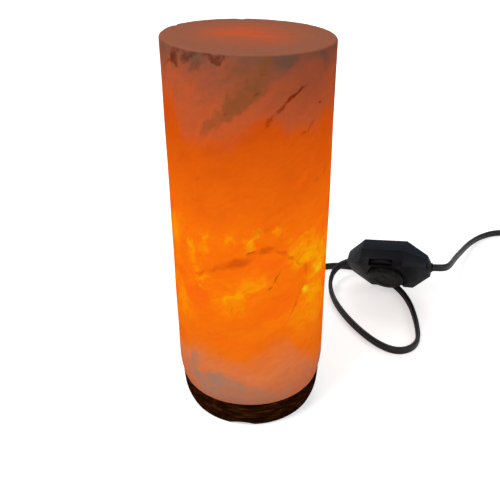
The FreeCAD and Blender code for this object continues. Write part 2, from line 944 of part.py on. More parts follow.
def make_cord(label, points):
    """One stretch of flex, as a plain tube as thick as the flex is wide."""
    path, radii = rounded_path(points)
    start = FreeCAD.Vector(*points[0])
    ahead = FreeCAD.Vector(*points[1]) - start
    radius = SIZES["cord_width"] / 2
    section = Part.Wire([Part.Circle(start, ahead, radius).toShape()])
    tube = path.makePipeShell([section], True, False)
    expected = math.pi * radius ** 2 * path.Length
    if abs(tube.Volume / expected - 1) > 0.01:
        raise RuntimeError(f"{label}: the tube's volume is not its section times its length")
    shaped(label, tube)
    rounded = ", ".join(f"{radius:.1f}" for radius in radii)
    print(f"{label}: length {path.Length:.1f}, radii {rounded}")


def make_cord_in_base():
    """The stretch held in the base's groove: two round cores joined by a web."""
    inner_end = S.cap_radius - 2.6
    length = GROMMET_FACE + S.nose_length - inner_end
    offset = S.cord_width / 2 - S.cord_core
    backwards = FreeCAD.Vector(1, 0, 0)
    parts = []
    for name, shift in (("left", -offset), ("right", offset)):
        sizes = {"Radius": S.cord_core, "Height": length}
        place = at(shift, inner_end, S.exit_height, backwards, -90)
        parts.append(primitive("Cylinder", f"core_{name}", sizes, place))
    web = {"Length": offset * 2, "Width": length, "Height": S.cord_core}
    place = at(-offset, inner_end, S.exit_height - S.cord_core / 2)
    parts.append(primitive("Box", "core_web", web, place))
    combine("MultiFuse", "cord_in_base", parts)


def make_grommet():
    """A rubber grommet that fills the groove's mouth and runs out as a tapered nose."""
    play = as_term(0.1)
    width = S.groove_width - play * 2
    inside = GROMMET_FACE - S.grommet_reach
    block = primitive(
        "Box",
        "grommet_block",
        {"Length": width, "Width": S.grommet_reach + 0.5, "Height": S.groove_depth - play},
        at(-width / 2, inside, UNDERSIDE),
    )
    nose = primitive(
        "Cone",
        "grommet_nose",
        {"Radius1": S.nose_radius, "Radius2": S.nose_tip_radius, "Height": S.nose_length},
        at(0, GROMMET_FACE, S.exit_height, FreeCAD.Vector(1, 0, 0), -90),
    )
    solid = combine("MultiFuse", "grommet_solid", [block, nose], listed=False)
    channel = primitive(
        "Box",
        "grommet_channel",
        {
            "Length": S.cord_width,
            "Width": S.grommet_reach + S.nose_length + 2,
            "Height": S.cord_core * 2,
        },
        at(-S.cord_width / 2, inside - 1, S.exit_height - S.cord_core),
    )
    combine("Cut", "cord_grommet", [solid, channel])


# Inline dimmer. Its own frame has X along the flex, Y across the face and Z out of the dial.

def dimmer_place():
    turn = FreeCAD.Rotation(UP, SIZES["dimmer_turn"])
    tilt = FreeCAD.Rotation(FreeCAD.Vector(0, 1, 0), -SIZES["dimmer_tilt"])
    roll = FreeCAD.Rotation(FreeCAD.Vector(1, 0, 0), 90 + SIZES["dimmer_roll"])
    spot = FreeCAD.Vector(SIZES["dimmer_x"], SIZES["dimmer_y"], SIZES["dimmer_z"])
    return FreeCAD.Placement(spot, turn * tilt * roll)


DIMMER = dimmer_place()
HALF_STRAIGHT = S.case_straight / 2
HALF_LENGTH = HALF_STRAIGHT + S.case_taper
HALF_DEPTH = S.case_depth / 2
HALF_WIDTH = S.case_width / 2
PARTING = -S.parting_drop
GLAND_AXIS = PARTING + S.gland_rise
RIM_TOP = HALF_DEPTH - S.case_wall - S.dial_gap
RIM_LOW = RIM_TOP - S.dial_rim_height
BOARD_TOP = -S.board_drop
BOARD_LOW = BOARD_TOP - S.board_thickness
POT_TOP = BOARD_TOP + S.pot_height
BOARD_LENGTH = (S.boss_x - S.boss_radius - S.board_play) * 2


def case_loft(body, kind, side, wall):
    """A loft along the case: full size in the middle, tapered to the glands."""
    sections = []
    end = HALF_LENGTH - wall
    for position, share in (
        (-end, S.case_end_share),
        (-HALF_STRAIGHT, as_term(1)),
        (HALF_STRAIGHT, as_term(1)),
        (end, S.case_end_share),
    ):
        sketch = new_sketch(body, "YZ_Plane", position)
        at_parting = (HALF_WIDTH + S.case_bulge) * share - wall
        at_face = HALF_WIDTH * share - wall
        face = (HALF_DEPTH * share - wall) * side
        corners = [(-at_parting, PARTING), (at_parting, PARTING), (at_face, face), (-at_face, face)]
        draw_outline(sketch, corners)
        sketch.Visibility = False
        sections.append(sketch)
    loft = body.newObject(f"PartDesign::{kind}", f"{body.Name}_{kind.lower()}")
    loft.Profile = sections[0]
    loft.Sections = sections[1:]
    loft.Ruled = True
    DOC.recompute()
    return loft


def draw_four(sketch, radius):
    """Four circles at the case's screw places."""
    for x in (S.boss_x, -S.boss_x):
        for y in (S.boss_y, -S.boss_y):
            draw_circle(sketch, x, y, radius)


def gland_hole(body):
    sketch = new_sketch(body, "YZ_Plane")
    draw_circle(sketch, 0, GLAND_AXIS, S.gland_radius)
    add_feature(body, "Pocket", sketch, HALF_LENGTH * 2 + 2, middle=True)


def make_front_shell():
    body = new_body("dimmer_front_shell")
    case_loft(body, "AdditiveLoft", 1, ZERO)
    case_loft(body, "SubtractiveLoft", 1, S.case_wall)
    bosses = new_sketch(body, "XY_Plane", PARTING)
    draw_four(bosses, S.boss_radius)
    boss_height = HALF_DEPTH - S.case_wall - 2.7 + S.parting_drop
    add_feature(body, "Pad", bosses, boss_height)
    pilots = new_sketch(body, "XY_Plane", PARTING)
    draw_four(pilots, S.case_screw_radius)
    add_feature(body, "Pocket", pilots, S.case_screw_reach + S.parting_drop + 0.5, reverse=True)
    opening = new_sketch(body, "XY_Plane", HALF_DEPTH)
    draw_circle(opening, 0, 0, S.dial_opening_radius)
    add_feature(body, "Pocket", opening, S.case_wall + 0.5)
    # The rim is wider than the case, so it shows in a window in each long side.
    windows = new_sketch(body, "XY_Plane", HALF_DEPTH)
    wall_inside = HALF_WIDTH - S.case_wall
    rim = S.dial_rim_radius
    half = root(rim * rim - wall_inside * wall_inside) + S.dial_gap
    outer = HALF_WIDTH + S.case_bulge + 1
    draw_outline(windows, box_corners(-half, half, wall_inside - 1, outer))
    draw_outline(windows, box_corners(-half, half, -outer, 1 - wall_inside))
    window_depth = S.case_wall + S.dial_rim_height + S.dial_gap * 2
    add_feature(body, "Pocket", windows, window_depth)
    gland_hole(body)
    body.Placement = DIMMER


def make_back_shell():
    body = new_body("dimmer_back_shell")
    case_loft(body, "AdditiveLoft", -1, ZERO)
    case_loft(body, "SubtractiveLoft", -1, S.case_wall)
    bosses = new_sketch(body, "XY_Plane", PARTING)
    draw_four(bosses, S.boss_radius)
    boss_height = HALF_DEPTH - S.case_wall - 2.3 - S.parting_drop
    add_feature(body, "Pad", bosses, boss_height, reverse=True)
    posts = new_sketch(body, "XY_Plane", BOARD_LOW)
    for x in (S.post_x, -S.post_x):
        for y in (S.post_y, -S.post_y):
            draw_circle(posts, x, y, S.post_radius)
    post_height = HALF_DEPTH - S.case_wall / 2 + BOARD_LOW
    add_feature(body, "Pad", posts, post_height, reverse=True)
    holes = new_sketch(body, "XY_Plane", PARTING)
    draw_four(holes, S.case_screw_radius + 0.15)
    add_feature(body, "Pocket", holes, HALF_DEPTH)
    sinks = new_sketch(body, "XY_Plane", -S.case_screw_seat)
    draw_four(sinks, S.case_screw_head + 0.2)
    add_feature(body, "Pocket", sinks, HALF_DEPTH)
    gland_hole(body)
    body.Placement = DIMMER


def make_dial():
    body = new_body("dimmer_dial")
    top = HALF_DEPTH + S.dial_proud
    hub_low = POT_TOP + S.dial_gap
    revolve(body, [
        (S.shaft_radius, hub_low),
        (S.dial_hub_radius, hub_low),
        (S.dial_hub_radius, RIM_LOW),
        (S.dial_rim_radius, RIM_LOW),
        (S.dial_rim_radius, RIM_TOP),
        (S.dial_radius, RIM_TOP),
        (S.dial_radius, top - 1.2),
        (S.dial_radius - 1.2, top),
        (S.dial_radius * 0.62, top),
        (S.dial_radius * 0.55, top - 0.6),
        (ZERO, top - 0.6),
        (ZERO, top - 2.6),
        (S.shaft_radius, top - 2.6),
    ])
    sketch = new_sketch(body, "XY_Plane", top)
    draw_circle(sketch, S.dial_radius + S.dial_flute_radius * 0.55, 0, S.dial_flute_radius)
    flute = add_feature(body, "Pocket", sketch, S.dial_proud - 0.4)
    repeat_around(body, [flute], S.dial_flutes)
    pointer = new_sketch(body, "XY_Plane", top - 0.6)
    low = S.dial_radius * 0.12
    high = S.dial_radius * 0.5
    draw_outline(pointer, box_corners(-0.7, 0.7, low, high))
    add_feature(body, "Pad", pointer, as_term(0.5))
    body.Placement = DIMMER


def make_shaft():
    low = POT_TOP - 3
    sizes = {"Radius": S.shaft_radius, "Height": HALF_DEPTH + S.dial_proud - 2.6 - low}
    shaft = primitive("Cylinder", "dial_shaft", sizes, DIMMER * at(0, 0, low))
    shaft.Label = "dial_shaft"
    SUBPARTS.append(shaft)


def make_potentiometer():
    clearance = as_term(0.05)
    body = turned("potentiometer", [
        (ZERO, BOARD_TOP),
        (S.pot_radius, BOARD_TOP),
        (S.pot_radius, POT_TOP - 1),
        (S.pot_radius - 1, POT_TOP),
        (S.shaft_radius + clearance, POT_TOP),
        (S.shaft_radius + clearance, POT_TOP - 3),
        (ZERO, POT_TOP - 3),
    ])
    body.Placement = DIMMER


def board_box(label, length, width, height, x, y, z):
    """A component's box, placed by the middle of its foot."""
    length, width = as_term(length), as_term(width)
    place = DIMMER * at(as_term(x) - length / 2, as_term(y) - width / 2, z)
    return primitive("Box", label, {"Length": length, "Width": width, "Height": height}, place)


def name_piece(solid, label):
    solid.Label = label
    SUBPARTS.append(solid)


def make_board():
    body = new_body("circuit_board")
    sketch = new_sketch(body, "XY_Plane", BOARD_LOW)
    half_length = BOARD_LENGTH / 2
    half_width = S.board_width / 2
    draw_outline(sketch, box_corners(-half_length, half_length, -half_width, half_width))
    add_feature(body, "Pad", sketch, S.board_thickness)
    body.Placement = DIMMER


def make_board_parts():
    under = as_term(4)
    name_piece(board_box("capacitor_box", 6, 13, 8.5, 14.5, 0, BOARD_TOP), "capacitor")
    name_piece(board_box("triac_case", 10, 13, under, -8, 4, BOARD_LOW - under), "triac")
    sink_top = BOARD_LOW - under
    sink = board_box(
        "sink_plate", S.sink_length, S.sink_width, S.sink_thickness, 0, 2, sink_top - S.sink_thickness
    )
    name_piece(sink, "heat_sink")
    ring = primitive(
        "Torus",
        "choke_ring",
        {"Radius1": S.choke_radius, "Radius2": S.choke_thickness},
        DIMMER * at(-14.6, 7.5, BOARD_TOP + S.choke_thickness),
    )
    name_piece(ring, "choke")
    resistors = []
    for i in range(3):
        across = DIMMER * at(-16.5 + 3.4 * i, -10.5, BOARD_TOP + 1.3, FreeCAD.Vector(1, 0, 0), -90)
        resistors.append(primitive("Cylinder", f"resistor_{i}", {"Radius": 1.2, "Height": 6}, across))
    combine("Compound", "board_resistors", resistors)


def make_glands():
    """Rubber bushes that grip the flex where it enters each end of the case."""
    bushes = []
    low = HALF_LENGTH + S.gland_reach - S.gland_length
    for side, name in ((1, "right"), (-1, "left")):
        facing = FreeCAD.Vector(0, 1, 0)
        inner = DIMMER * at(low.value * side, 0, GLAND_AXIS, facing, 90 * side)
        length = S.gland_length - S.gland_reach
        bush = {"Radius": S.gland_radius, "Height": length}
        sleeve = primitive("Cylinder", f"bush_{name}", bush, inner)
        collar_radius = S.gland_radius + S.gland_collar
        collar = primitive(
            "Cone",
            f"collar_{name}",
            {"Radius1": collar_radius, "Radius2": S.gland_radius, "Height": S.gland_reach},
            DIMMER * at(HALF_LENGTH.value * side, 0, GLAND_AXIS, facing, 90 * side),
        )
        bushes.append(combine("MultiFuse", f"gland_{name}", [sleeve, collar], listed=False))
    combine("Compound", "dimmer_glands", bushes)


def make_cord_bridges():
    """Bars that press the flex down inside each end of the case."""
    bars = []
    for side, name in ((1, "right"), (-1, "left")):
        x = S.boss_x * side
        width = (S.boss_y - S.boss_radius) * 2 - 0.6
        bars.append(board_box(
            f"bridge_{name}", S.bridge_length, width, S.bridge_height, x, 0, GLAND_AXIS + S.cord_core
        ))
    combine("Compound", "cord_bridges", bars)


def make_inner_flex():
    """The two ends of flex inside the case, from each gland to the board."""
    ends = []
    start = BOARD_LENGTH / 2 - 3
    stop = HALF_LENGTH + S.gland_reach - S.gland_length
    for side, name in ((1, "right"), (-1, "left")):
        place = DIMMER * at(start.value * side, 0, GLAND_AXIS, FreeCAD.Vector(0, 1, 0), 90 * side)
        sizes = {"Radius": S.cord_core, "Height": stop - start}
        ends.append(primitive("Cylinder", f"flex_end_{name}", sizes, place))
    combine("Compound", "dimmer_flex_ends", ends)


def make_case_screws():
    screws = []
    for x in (S.boss_x, -S.boss_x):
        for y in (S.boss_y, -S.boss_y):
            shank = primitive(
                "Cylinder",
                "case_screw_shank",
                {"Radius": S.case_screw_radius, "Height": S.case_screw_seat + S.case_screw_reach},
                DIMMER * at(x, y, -S.case_screw_seat),
            )
            head = primitive(
                "Cylinder",
                "case_screw_top",
                {"Radius": S.case_screw_head, "Height": S.case_screw_head_height},
                DIMMER * at(x, y, -S.case_screw_seat - S.case_screw_head_height),
            )
            screws.append(combine("MultiFuse", "case_screw", [shank, head], listed=False))
    combine("Compound", "case_screws", screws)


def gland_mouth(side):
    reach = (HALF_LENGTH + S.gland_reach).value * side
    return DIMMER.multVec(FreeCAD.Vector(reach, 0, GLAND_AXIS.value))


# Coil, tie and plug

def make_coil():
    """The outer shape of the coil of put-away flex: a ring of turns side by side."""
    width = S.cord_width * S.coil_columns
    height = S.cord_width * S.coil_layers
    low = S.tie_thickness + S.cord_rest
    body = new_body("cord_coil")
    ring = revolve(body, box_corners(
        S.coil_radius - width / 2, S.coil_radius + width / 2, low, low + height
    ))
    round_edges(body, ring, lambda e: hasattr(e.Curve, "Radius"), S.cord_width * 0.45)
    body.Placement = at(S.coil_x, S.coil_y, 0)


def make_coil_tie():
    """A flat strap round the coil's bundle, on the side away from the plug."""
    play = S.tie_play
    width = S.cord_width * S.coil_columns + play * 2
    height = S.cord_width * S.coil_layers + play
    low = S.tie_thickness
    body = new_body("coil_tie")
    sketch = new_sketch(body, "XZ_Plane")
    left = -S.coil_radius - width / 2
    right = -S.coil_radius + width / 2
    outer = S.tie_thickness
    rest = S.cord_rest / 2
    top = low + height
    draw_outline(sketch, box_corners(left - outer, right + outer, low - outer + rest, top + outer))
    draw_outline(sketch, box_corners(left, right, low + rest, top))
    add_feature(body, "Pad", sketch, S.tie_width, middle=True)
    body.Placement = at(S.coil_x, S.coil_y, 0)


def plug_x():
    """The plug lies in line with the outermost turn of the coil."""
    outermost = SIZES["coil_radius"] + SIZES["cord_width"] * (SIZES["coil_columns"] - 1) / 2
    return SIZES["coil_x"] + outermost + 0.4


def plug_axis_height():
    return SIZES["mains_plug_height"] / 2 + SIZES["cord_rest"]


def make_plug_body():
    body = new_body("plug_body")
    half = S.mains_plug_width / 2
    front = half * 0.62
    shoulder = S.mains_plug_length * 0.55
    end = S.mains_plug_length
    sketch = new_sketch(body, "XY_Plane")
    draw_outline(sketch, [
        (-half, -end),
        (half, -end),
        (half, shoulder - end),
        (front, 0),
        (-front, 0),
        (-half, shoulder - end),
    ])
    pad = add_feature(body, "Pad", sketch, S.mains_plug_height, middle=True)

    def is_long_edge(edge):
        box = edge.BoundBox
        flat = box.ZMax - box.ZMin < 0.01
        return not (flat and abs(box.YMax + end.value) < 0.01)

    round_edges(body, pad, is_long_edge, S.mains_plug_rounding)
    slots = new_sketch(body, "XZ_Plane", end)
    for x in (S.blade_spacing / 2, -S.blade_spacing / 2):
        draw_outline(slots, box_corners(
            x - S.blade_thickness / 2, x + S.blade_thickness / 2, -S.blade_width / 2, S.blade_width / 2
        ))
    add_feature(body, "Pocket", slots, S.blade_root)
    body.Placement = at(plug_x(), S.mains_plug_y, plug_axis_height())


def make_blades():
    body = new_body("plug_blades")
    sketch = new_sketch(body, "XZ_Plane", S.mains_plug_length - S.blade_root)
    for x in (S.blade_spacing / 2, -S.blade_spacing / 2):
        draw_outline(sketch, box_corners(
            x - S.blade_thickness / 2, x + S.blade_thickness / 2, -S.blade_width / 2, S.blade_width / 2
        ))
    pad = add_feature(body, "Pad", sketch, S.blade_root + S.blade_length)
    tip = -(S.mains_plug_length + S.blade_length).value

    def is_tip_corner(edge):
        box = edge.BoundBox
        return abs(box.YMin - tip) < 0.01 and abs(box.YMax - tip) < 0.01 and edge.Length < 2

    chamfer = body.newObject("PartDesign::Chamfer", "blade_chamfer")
    edges = enumerate(pad.Shape.Edges, start=1)
    chamfer.Base = (pad, [f"Edge{i}" for i, edge in edges if is_tip_corner(edge)])
    chamfer.Size = 1.4
    body.Placement = at(plug_x(), S.mains_plug_y, plug_axis_height())


def make_plug_relief():
    relief = primitive(
        "Cone",
        "plug_strain_relief",
        {"Radius1": S.relief_radius, "Radius2": S.relief_tip_radius, "Height": S.relief_length},
        at(plug_x(), S.mains_plug_y, plug_axis_height(), FreeCAD.Vector(1, 0, 0), -90),
    )
    name_piece(relief, "plug_strain_relief")


def coil_entry():
    """Where the flex joins the coil's lower layer, in line with its outermost turn."""
    radius = SIZES["coil_radius"] + SIZES["cord_width"] * (SIZES["coil_columns"] - 1) / 2
    angle = math.radians(SIZES["coil_entry_angle"])
    height = SIZES["tie_thickness"] + SIZES["cord_rest"] + SIZES["cord_width"] / 2
    x = SIZES["coil_x"] + radius * math.cos(angle)
    y = SIZES["coil_y"] + radius * math.sin(angle)
    return (x, y, height)


def coil_exit():
    """Where the flex leaves the coil's upper layer for the plug."""
    radius = SIZES["coil_radius"] + SIZES["cord_width"] * (SIZES["coil_columns"] - 1) / 2
    layers_below = SIZES["coil_layers"] - 0.5
    height = SIZES["tie_thickness"] + SIZES["cord_rest"] + SIZES["cord_width"] * layers_below
    return (SIZES["coil_x"] + radius, SIZES["coil_y"], height)


def make_cords():
    nose_end = (0, (GROMMET_FACE + S.nose_length).value, SIZES["exit_height"])
    relief_end = (plug_x(), SIZES["mains_plug_y"] + SIZES["relief_length"], plug_axis_height())
    make_cord("cord_to_dimmer", [nose_end, *LAMP_SIDE_ROUTE, tuple(gland_mouth(-1))])
    make_cord("cord_to_coil", [tuple(gland_mouth(1)), *PLUG_SIDE_ROUTE, coil_entry()])
    make_cord("cord_to_plug", [coil_exit(), *TAIL_ROUTE, relief_end])


def build():
    fill_sheet()
    make_salt()
    make_base()
    make_feet()
    make_base_screws()
    make_wall_plugs()
    make_holder_body()
    make_holder_flange()
    make_holder_cap()
    make_spring_clips()
    make_screw_shell()
    make_centre_contact()
    make_contact_rivets()
    make_terminals()
    make_holder_wires()
    make_bulb_cap()
    make_bulb_insulator()
    make_bulb_tip()
    make_bulb_glass()
    make_glass_stem()
    make_filament()
    make_cord_in_base()
    make_grommet()
    make_front_shell()
    make_back_shell()
    make_dial()
    make_shaft()
    make_potentiometer()
    make_board()
    make_board_parts()
    make_glands()
    make_cord_bridges()
    make_inner_flex()
    make_case_screws()
    make_coil()
    make_coil_tie()
    make_plug_body()
    make_blades()
    make_plug_relief()
    make_cords()
    DOC.recompute()


def check():
    """Stops if anything in the document failed, or a sub-part has no sound shape."""
    for item in DOC.Objects:
        if "Invalid" in item.State or "Error" in item.State:
            raise RuntimeError(f"{item.Label} failed: {item.State}")
    for part in SUBPARTS:
        if part.Shape.isNull() or not part.Shape.isValid():
            raise RuntimeError(f"{part.Label} has no valid shape")


def export():
    os.makedirs("parts", exist_ok=True)
    for part in SUBPARTS:
        part.Shape.exportStep(f"parts/{part.Label}.step")
    print(f"{len(SUBPARTS)} sub-parts written")


build()
check()
export()
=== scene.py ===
"""Looks of the salt crystal lamp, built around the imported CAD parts. Metres, +Z up."""

import math

import bmesh
import bpy
from mathutils import Euler, Matrix, Vector, noise


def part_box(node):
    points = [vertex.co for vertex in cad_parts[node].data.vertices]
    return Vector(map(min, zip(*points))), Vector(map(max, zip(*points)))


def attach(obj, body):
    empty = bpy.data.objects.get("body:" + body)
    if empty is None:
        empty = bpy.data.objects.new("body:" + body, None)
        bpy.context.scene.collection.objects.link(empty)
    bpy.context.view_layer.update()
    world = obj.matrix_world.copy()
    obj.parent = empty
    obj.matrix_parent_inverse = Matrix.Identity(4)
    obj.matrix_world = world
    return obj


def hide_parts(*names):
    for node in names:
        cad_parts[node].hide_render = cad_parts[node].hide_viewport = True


MM = 0.001
UP = Vector((0, 0, 1))

# The photograph's camera, fitted to the lamp's outline
CAMERA_PLACE = Vector((0, -0.395, 0.3332))
CAMERA_PITCH = math.radians(28.97)
CAMERA_ROLL = math.radians(-0.45)
CAMERA_LENS = 48.33

# Salt cylinder
SALT_FOOT_INSET = 2.3 * MM
SALT_FOOT_RISE = 17.4 * MM
SALT_EDGE_ROUNDING = 0.8 * MM
SALT_TOP_ROUNDING = 1.6 * MM
SALT_TOP_SLOPE = 0.0265
CAVITY_RADIUS = 23 * MM
CAVITY_STRAIGHT = 128 * MM
CAVITY_DOME = 13.8 * MM

# Flat two-core flex
FLEX_WIDTH = 6.6 * MM
FLEX_CORE = 1.8 * MM

# Dimmer: the dial's axis points out of its front
DIAL_MIDDLE = Vector((0.1251, 0.1274, 0.029))
DIAL_AXIS = Vector((-0.31134, -0.770492, -0.556246))
DIMMER_HALF_DEPTH = 12.7 * MM
DIMMER_SEAM = -1.0 * MM
# Width of the painted shade band in the seam between the shells
DIMMER_SEAM_SHADE_WIDTH = 0.5 * MM

# Coil of the length that the photograph doesn't show
COIL_MIDDLE = Vector((0.302, 0.163, 0))
COIL_RADIUS = 36.3 * MM
COIL_LOW = 4.15 * MM
COIL_PITCH = FLEX_WIDTH
COIL_ENTRY = math.radians(50)
COIL_TURNS = 4
COIL_STEPS = 16
COIL_CLIMB = 0.06

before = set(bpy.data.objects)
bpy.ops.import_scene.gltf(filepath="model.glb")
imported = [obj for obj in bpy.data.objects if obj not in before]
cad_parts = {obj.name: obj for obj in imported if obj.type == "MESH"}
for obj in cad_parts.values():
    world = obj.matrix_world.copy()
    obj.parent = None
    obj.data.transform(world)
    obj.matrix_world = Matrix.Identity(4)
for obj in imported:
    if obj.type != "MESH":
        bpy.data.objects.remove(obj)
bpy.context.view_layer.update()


# Pieces

def new_object(name, data, body="lamp"):
    piece = bpy.data.objects.new(name, data)
    bpy.context.collection.objects.link(piece)
    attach(piece, body)
    return piece


def mesh_from(name, points, faces, body="lamp"):
    mesh = bpy.data.meshes.new(name)
    mesh.from_pydata(points, [], faces)
    mesh.validate()
    mesh.update()
    return new_object(name, mesh, body)


def smooth_shaded(piece, angle=35):
    """Smooth faces, with edges left sharp where they turn by more than the angle."""
    mesh = piece.data
    mesh.shade_smooth()
    shape = bmesh.new()
    shape.from_mesh(mesh)
    for edge in shape.edges:
        turn = edge.calc_face_angle(0) if len(edge.link_faces) == 2 else 0
        edge.smooth = turn < math.radians(angle)
    shape.to_mesh(mesh)
    shape.free()
    return piece


def ring_mesh(rings, closed_ends=False):
    """Points and faces of a skin over rings that have equal counts of points."""
    count = len(rings[0])
    points = [point for ring in rings for point in ring]
    faces = []
    for i in range(len(rings) - 1):
        low = i * count
        high = low + count
        for j in range(count):
            k = (j + 1) % count
            faces.append((low + j, low + k, high + k, high + j))
    if closed_ends:
        faces.append(tuple(reversed(range(count))))
        faces.append(tuple(range(len(points) - count, len(points))))
    return points, faces


def bevelled_copy(node, width, body="lamp", angle=25, segments=3):
    """A copy of a CAD node with small rounds on its hard edges, which stands for it."""
    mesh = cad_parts[node].data.copy()
    mesh.materials.clear()
    piece = new_object(f"{node}_moulded", mesh, body)
    shape = bmesh.new()
    shape.from_mesh(mesh)
    bmesh.ops.remove_doubles(shape, verts=shape.verts, dist=0.01 * MM)
    bmesh.ops.dissolve_limit(
        shape, angle_limit=math.radians(1), verts=shape.verts, edges=shape.edges
    )
    shape.to_mesh(mesh)
    shape.free()
    bevel = piece.modifiers.new("bevel", "BEVEL")
    bevel.width = width
    bevel.segments = segments
    bevel.limit_method = "ANGLE"
    bevel.angle_limit = math.radians(angle)
    bevel.use_clamp_overlap = True
    apply_modifiers(piece)
    smooth_shaded(piece, 30)
    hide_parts(node)
    return piece


def apply_modifiers(piece):
    evaluated = piece.evaluated_get(bpy.context.evaluated_depsgraph_get())
    made = bpy.data.meshes.new_from_object(evaluated)
    piece.modifiers.clear()
    piece.data = made


# Materials

class Recipe:
    """A material written as calls that make and join its nodes."""

    def __init__(self, name):
        self.material = bpy.data.materials.new(name)
        self.material.use_nodes = True
        self.tree = self.material.node_tree
        self.surface = self.tree.nodes["Principled BSDF"]
        self.place = self.add("ShaderNodeTexCoord").outputs["Object"]

    def add(self, kind, inputs=None, **settings):
        node = self.tree.nodes.new(kind)
        for name, value in settings.items():
            setattr(node, name, value)
        for key, value in (inputs or {}).items():
            self.put(node.inputs[key], value)
        return node

    def put(self, socket, value):
        if isinstance(value, bpy.types.NodeSocket):
            self.tree.links.new(value, socket)
        else:
            socket.default_value = value

    def set(self, **values):
        """Sets sockets of the surface shader; underscores stand for spaces."""
        for name, value in values.items():
            self.put(self.surface.inputs[name.replace("_", " ")], value)
        return self

    def math(self, operation, a, b=0.0):
        return self.add("ShaderNodeMath", {0: a, 1: b}, operation=operation).outputs[0]

    def vector(self, operation, a, b=(0, 0, 0)):
        node = self.add("ShaderNodeVectorMath", {0: a, 1: b}, operation=operation)
        return node.outputs["Value" if operation in ("LENGTH", "DOT_PRODUCT") else "Vector"]

    def scaled(self, vector, factors):
        return self.vector("MULTIPLY", vector, factors)

    def scaled_and_moved(self, vector, factors, move):
        node = self.add(
            "ShaderNodeVectorMath", {0: vector, 1: factors, 2: move}, operation="MULTIPLY_ADD"
        )
        return node.outputs[0]

    def part(self, axis):
        """One coordinate of the place on the object."""
        if not hasattr(self, "parts"):
            self.parts = self.add("ShaderNodeSeparateXYZ", {0: self.place})
        return self.parts.outputs[axis]

    def noise(self, scale, detail=3.0, roughness=0.55, place=None, colour=False):
        """Smooth noise; scale is in cells per metre."""
        node = self.add("ShaderNodeTexNoise", {
            "Vector": self.place if place is None else place,
            "Scale": scale,
            "Detail": detail,
            "Roughness": roughness,
        })
        return node.outputs["Color" if colour else "Fac"]

    def fit(self, value, low, high, start=0.0, end=1.0, smooth=True):
        """Maps low..high to start..end and holds it outside."""
        node = self.add("ShaderNodeMapRange", {0: value, 1: low, 2: high, 3: start, 4: end})
        node.interpolation_type = "SMOOTHSTEP" if smooth else "LINEAR"
        return node.outputs[0]

    def curve(self, value, points, low, high):
        """Reads a curve's height at the value; the points are in mm, and so are low and high."""
        start, end = points[0][0], points[-1][0]
        share = self.fit(value, start * MM, end * MM, smooth=False)
        node = self.add("ShaderNodeFloatCurve", {"Value": share})
        line = node.mapping.curves[0]
        while len(line.points) < len(points):
            line.points.new(0.5, 0.5)
        for point, (x, y) in zip(line.points, points):
            point.location = ((x - start) / (end - start), (y - low) / (high - low))
        node.mapping.update()
        return self.fit(node.outputs[0], 0, 1, low * MM, high * MM, smooth=False)

    def mix(self, amount, a, b, blend="MIX"):
        node = self.add("ShaderNodeMix", data_type="RGBA", blend_type=blend)
        self.put(node.inputs[0], amount)
        self.put(node.inputs[6], a)
        self.put(node.inputs[7], b)
        return node.outputs[2]

    def ramp(self, value, stops):
        node = self.add("ShaderNodeValToRGB", {0: value})
        elements = node.color_ramp.elements
        while len(elements) < len(stops):
            elements.new(0.5)
        for element, (position, tint) in zip(elements, stops):
            element.position = position
        for element, (position, tint) in zip(elements, stops):
            element.color = tint
        return node.outputs[0]

    def bump(self, height, distance, strength=1.0):
        """Bump whose distance, in metres, is the height that 1 stands for."""
        node = self.add("ShaderNodeBump", {
            "Height": height,
            "Distance": distance,
            "Strength": strength,
        })
        self.put(self.surface.inputs["Normal"], node.outputs[0])
        return self


def tone(red, green, blue):
    """A colour as linear light from 8-bit screen values."""

    def linear(value):
        share = value / 255
        return share / 12.92 if share <= 0.04045 else ((share + 0.055) / 1.055) ** 2.4

    return (linear(red), linear(green), linear(blue), 1.0)


def finish_with(piece, recipe):
    piece.data.materials.clear()
    piece.data.materials.append(recipe.material)


def dress(node, recipe):
    """Gives a CAD node's own mesh a better material."""
    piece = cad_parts[node]
    for place in piece.material_slots:
        place.material = recipe.material


# Camera, floor and lights

def set_view():
    bpy.context.scene.view_settings.view_transform = "Standard"


def make_camera():
    camera = bpy.data.objects.new("camera", bpy.data.cameras.new("camera"))
    bpy.context.collection.objects.link(camera)
    camera.location = CAMERA_PLACE
    looking = Euler((math.pi / 2 - CAMERA_PITCH, 0, 0)).to_matrix()
    camera.rotation_euler = (looking @ Matrix.Rotation(CAMERA_ROLL, 3, "Z")).to_euler()
    camera.data.lens = CAMERA_LENS
    camera.data.sensor_width = 36
    camera.data.clip_start = 0.01
    bpy.context.scene.camera = camera


def make_floor():
    floor_mesh = bpy.data.meshes.new("floor")
    half = 4.0
    floor_mesh.from_pydata(
        [(-half, -half, 0), (half, -half, 0), (half, half, 0), (-half, half, 0)],
        [],
        [(0, 1, 2, 3)],
    )
    floor = bpy.data.objects.new("floor", floor_mesh)
    bpy.context.collection.objects.link(floor)
    recipe = Recipe("floor_white")
    recipe.set(Base_Color=(0.92, 0.92, 0.92, 1), Roughness=0.9, Specular_IOR_Level=0.1)
    rays = recipe.add("ShaderNodeLightPath").outputs
    away = recipe.vector("LENGTH", recipe.place)
    paleness = recipe.fit(away, 0.2, 0.9, 0.5, 0.74)
    seen = recipe.math("MULTIPLY", rays["Is Camera Ray"], paleness)
    recipe.set(Emission_Color=(1, 1, 1, 1), Emission_Strength=seen)
    floor_mesh.materials.append(recipe.material)


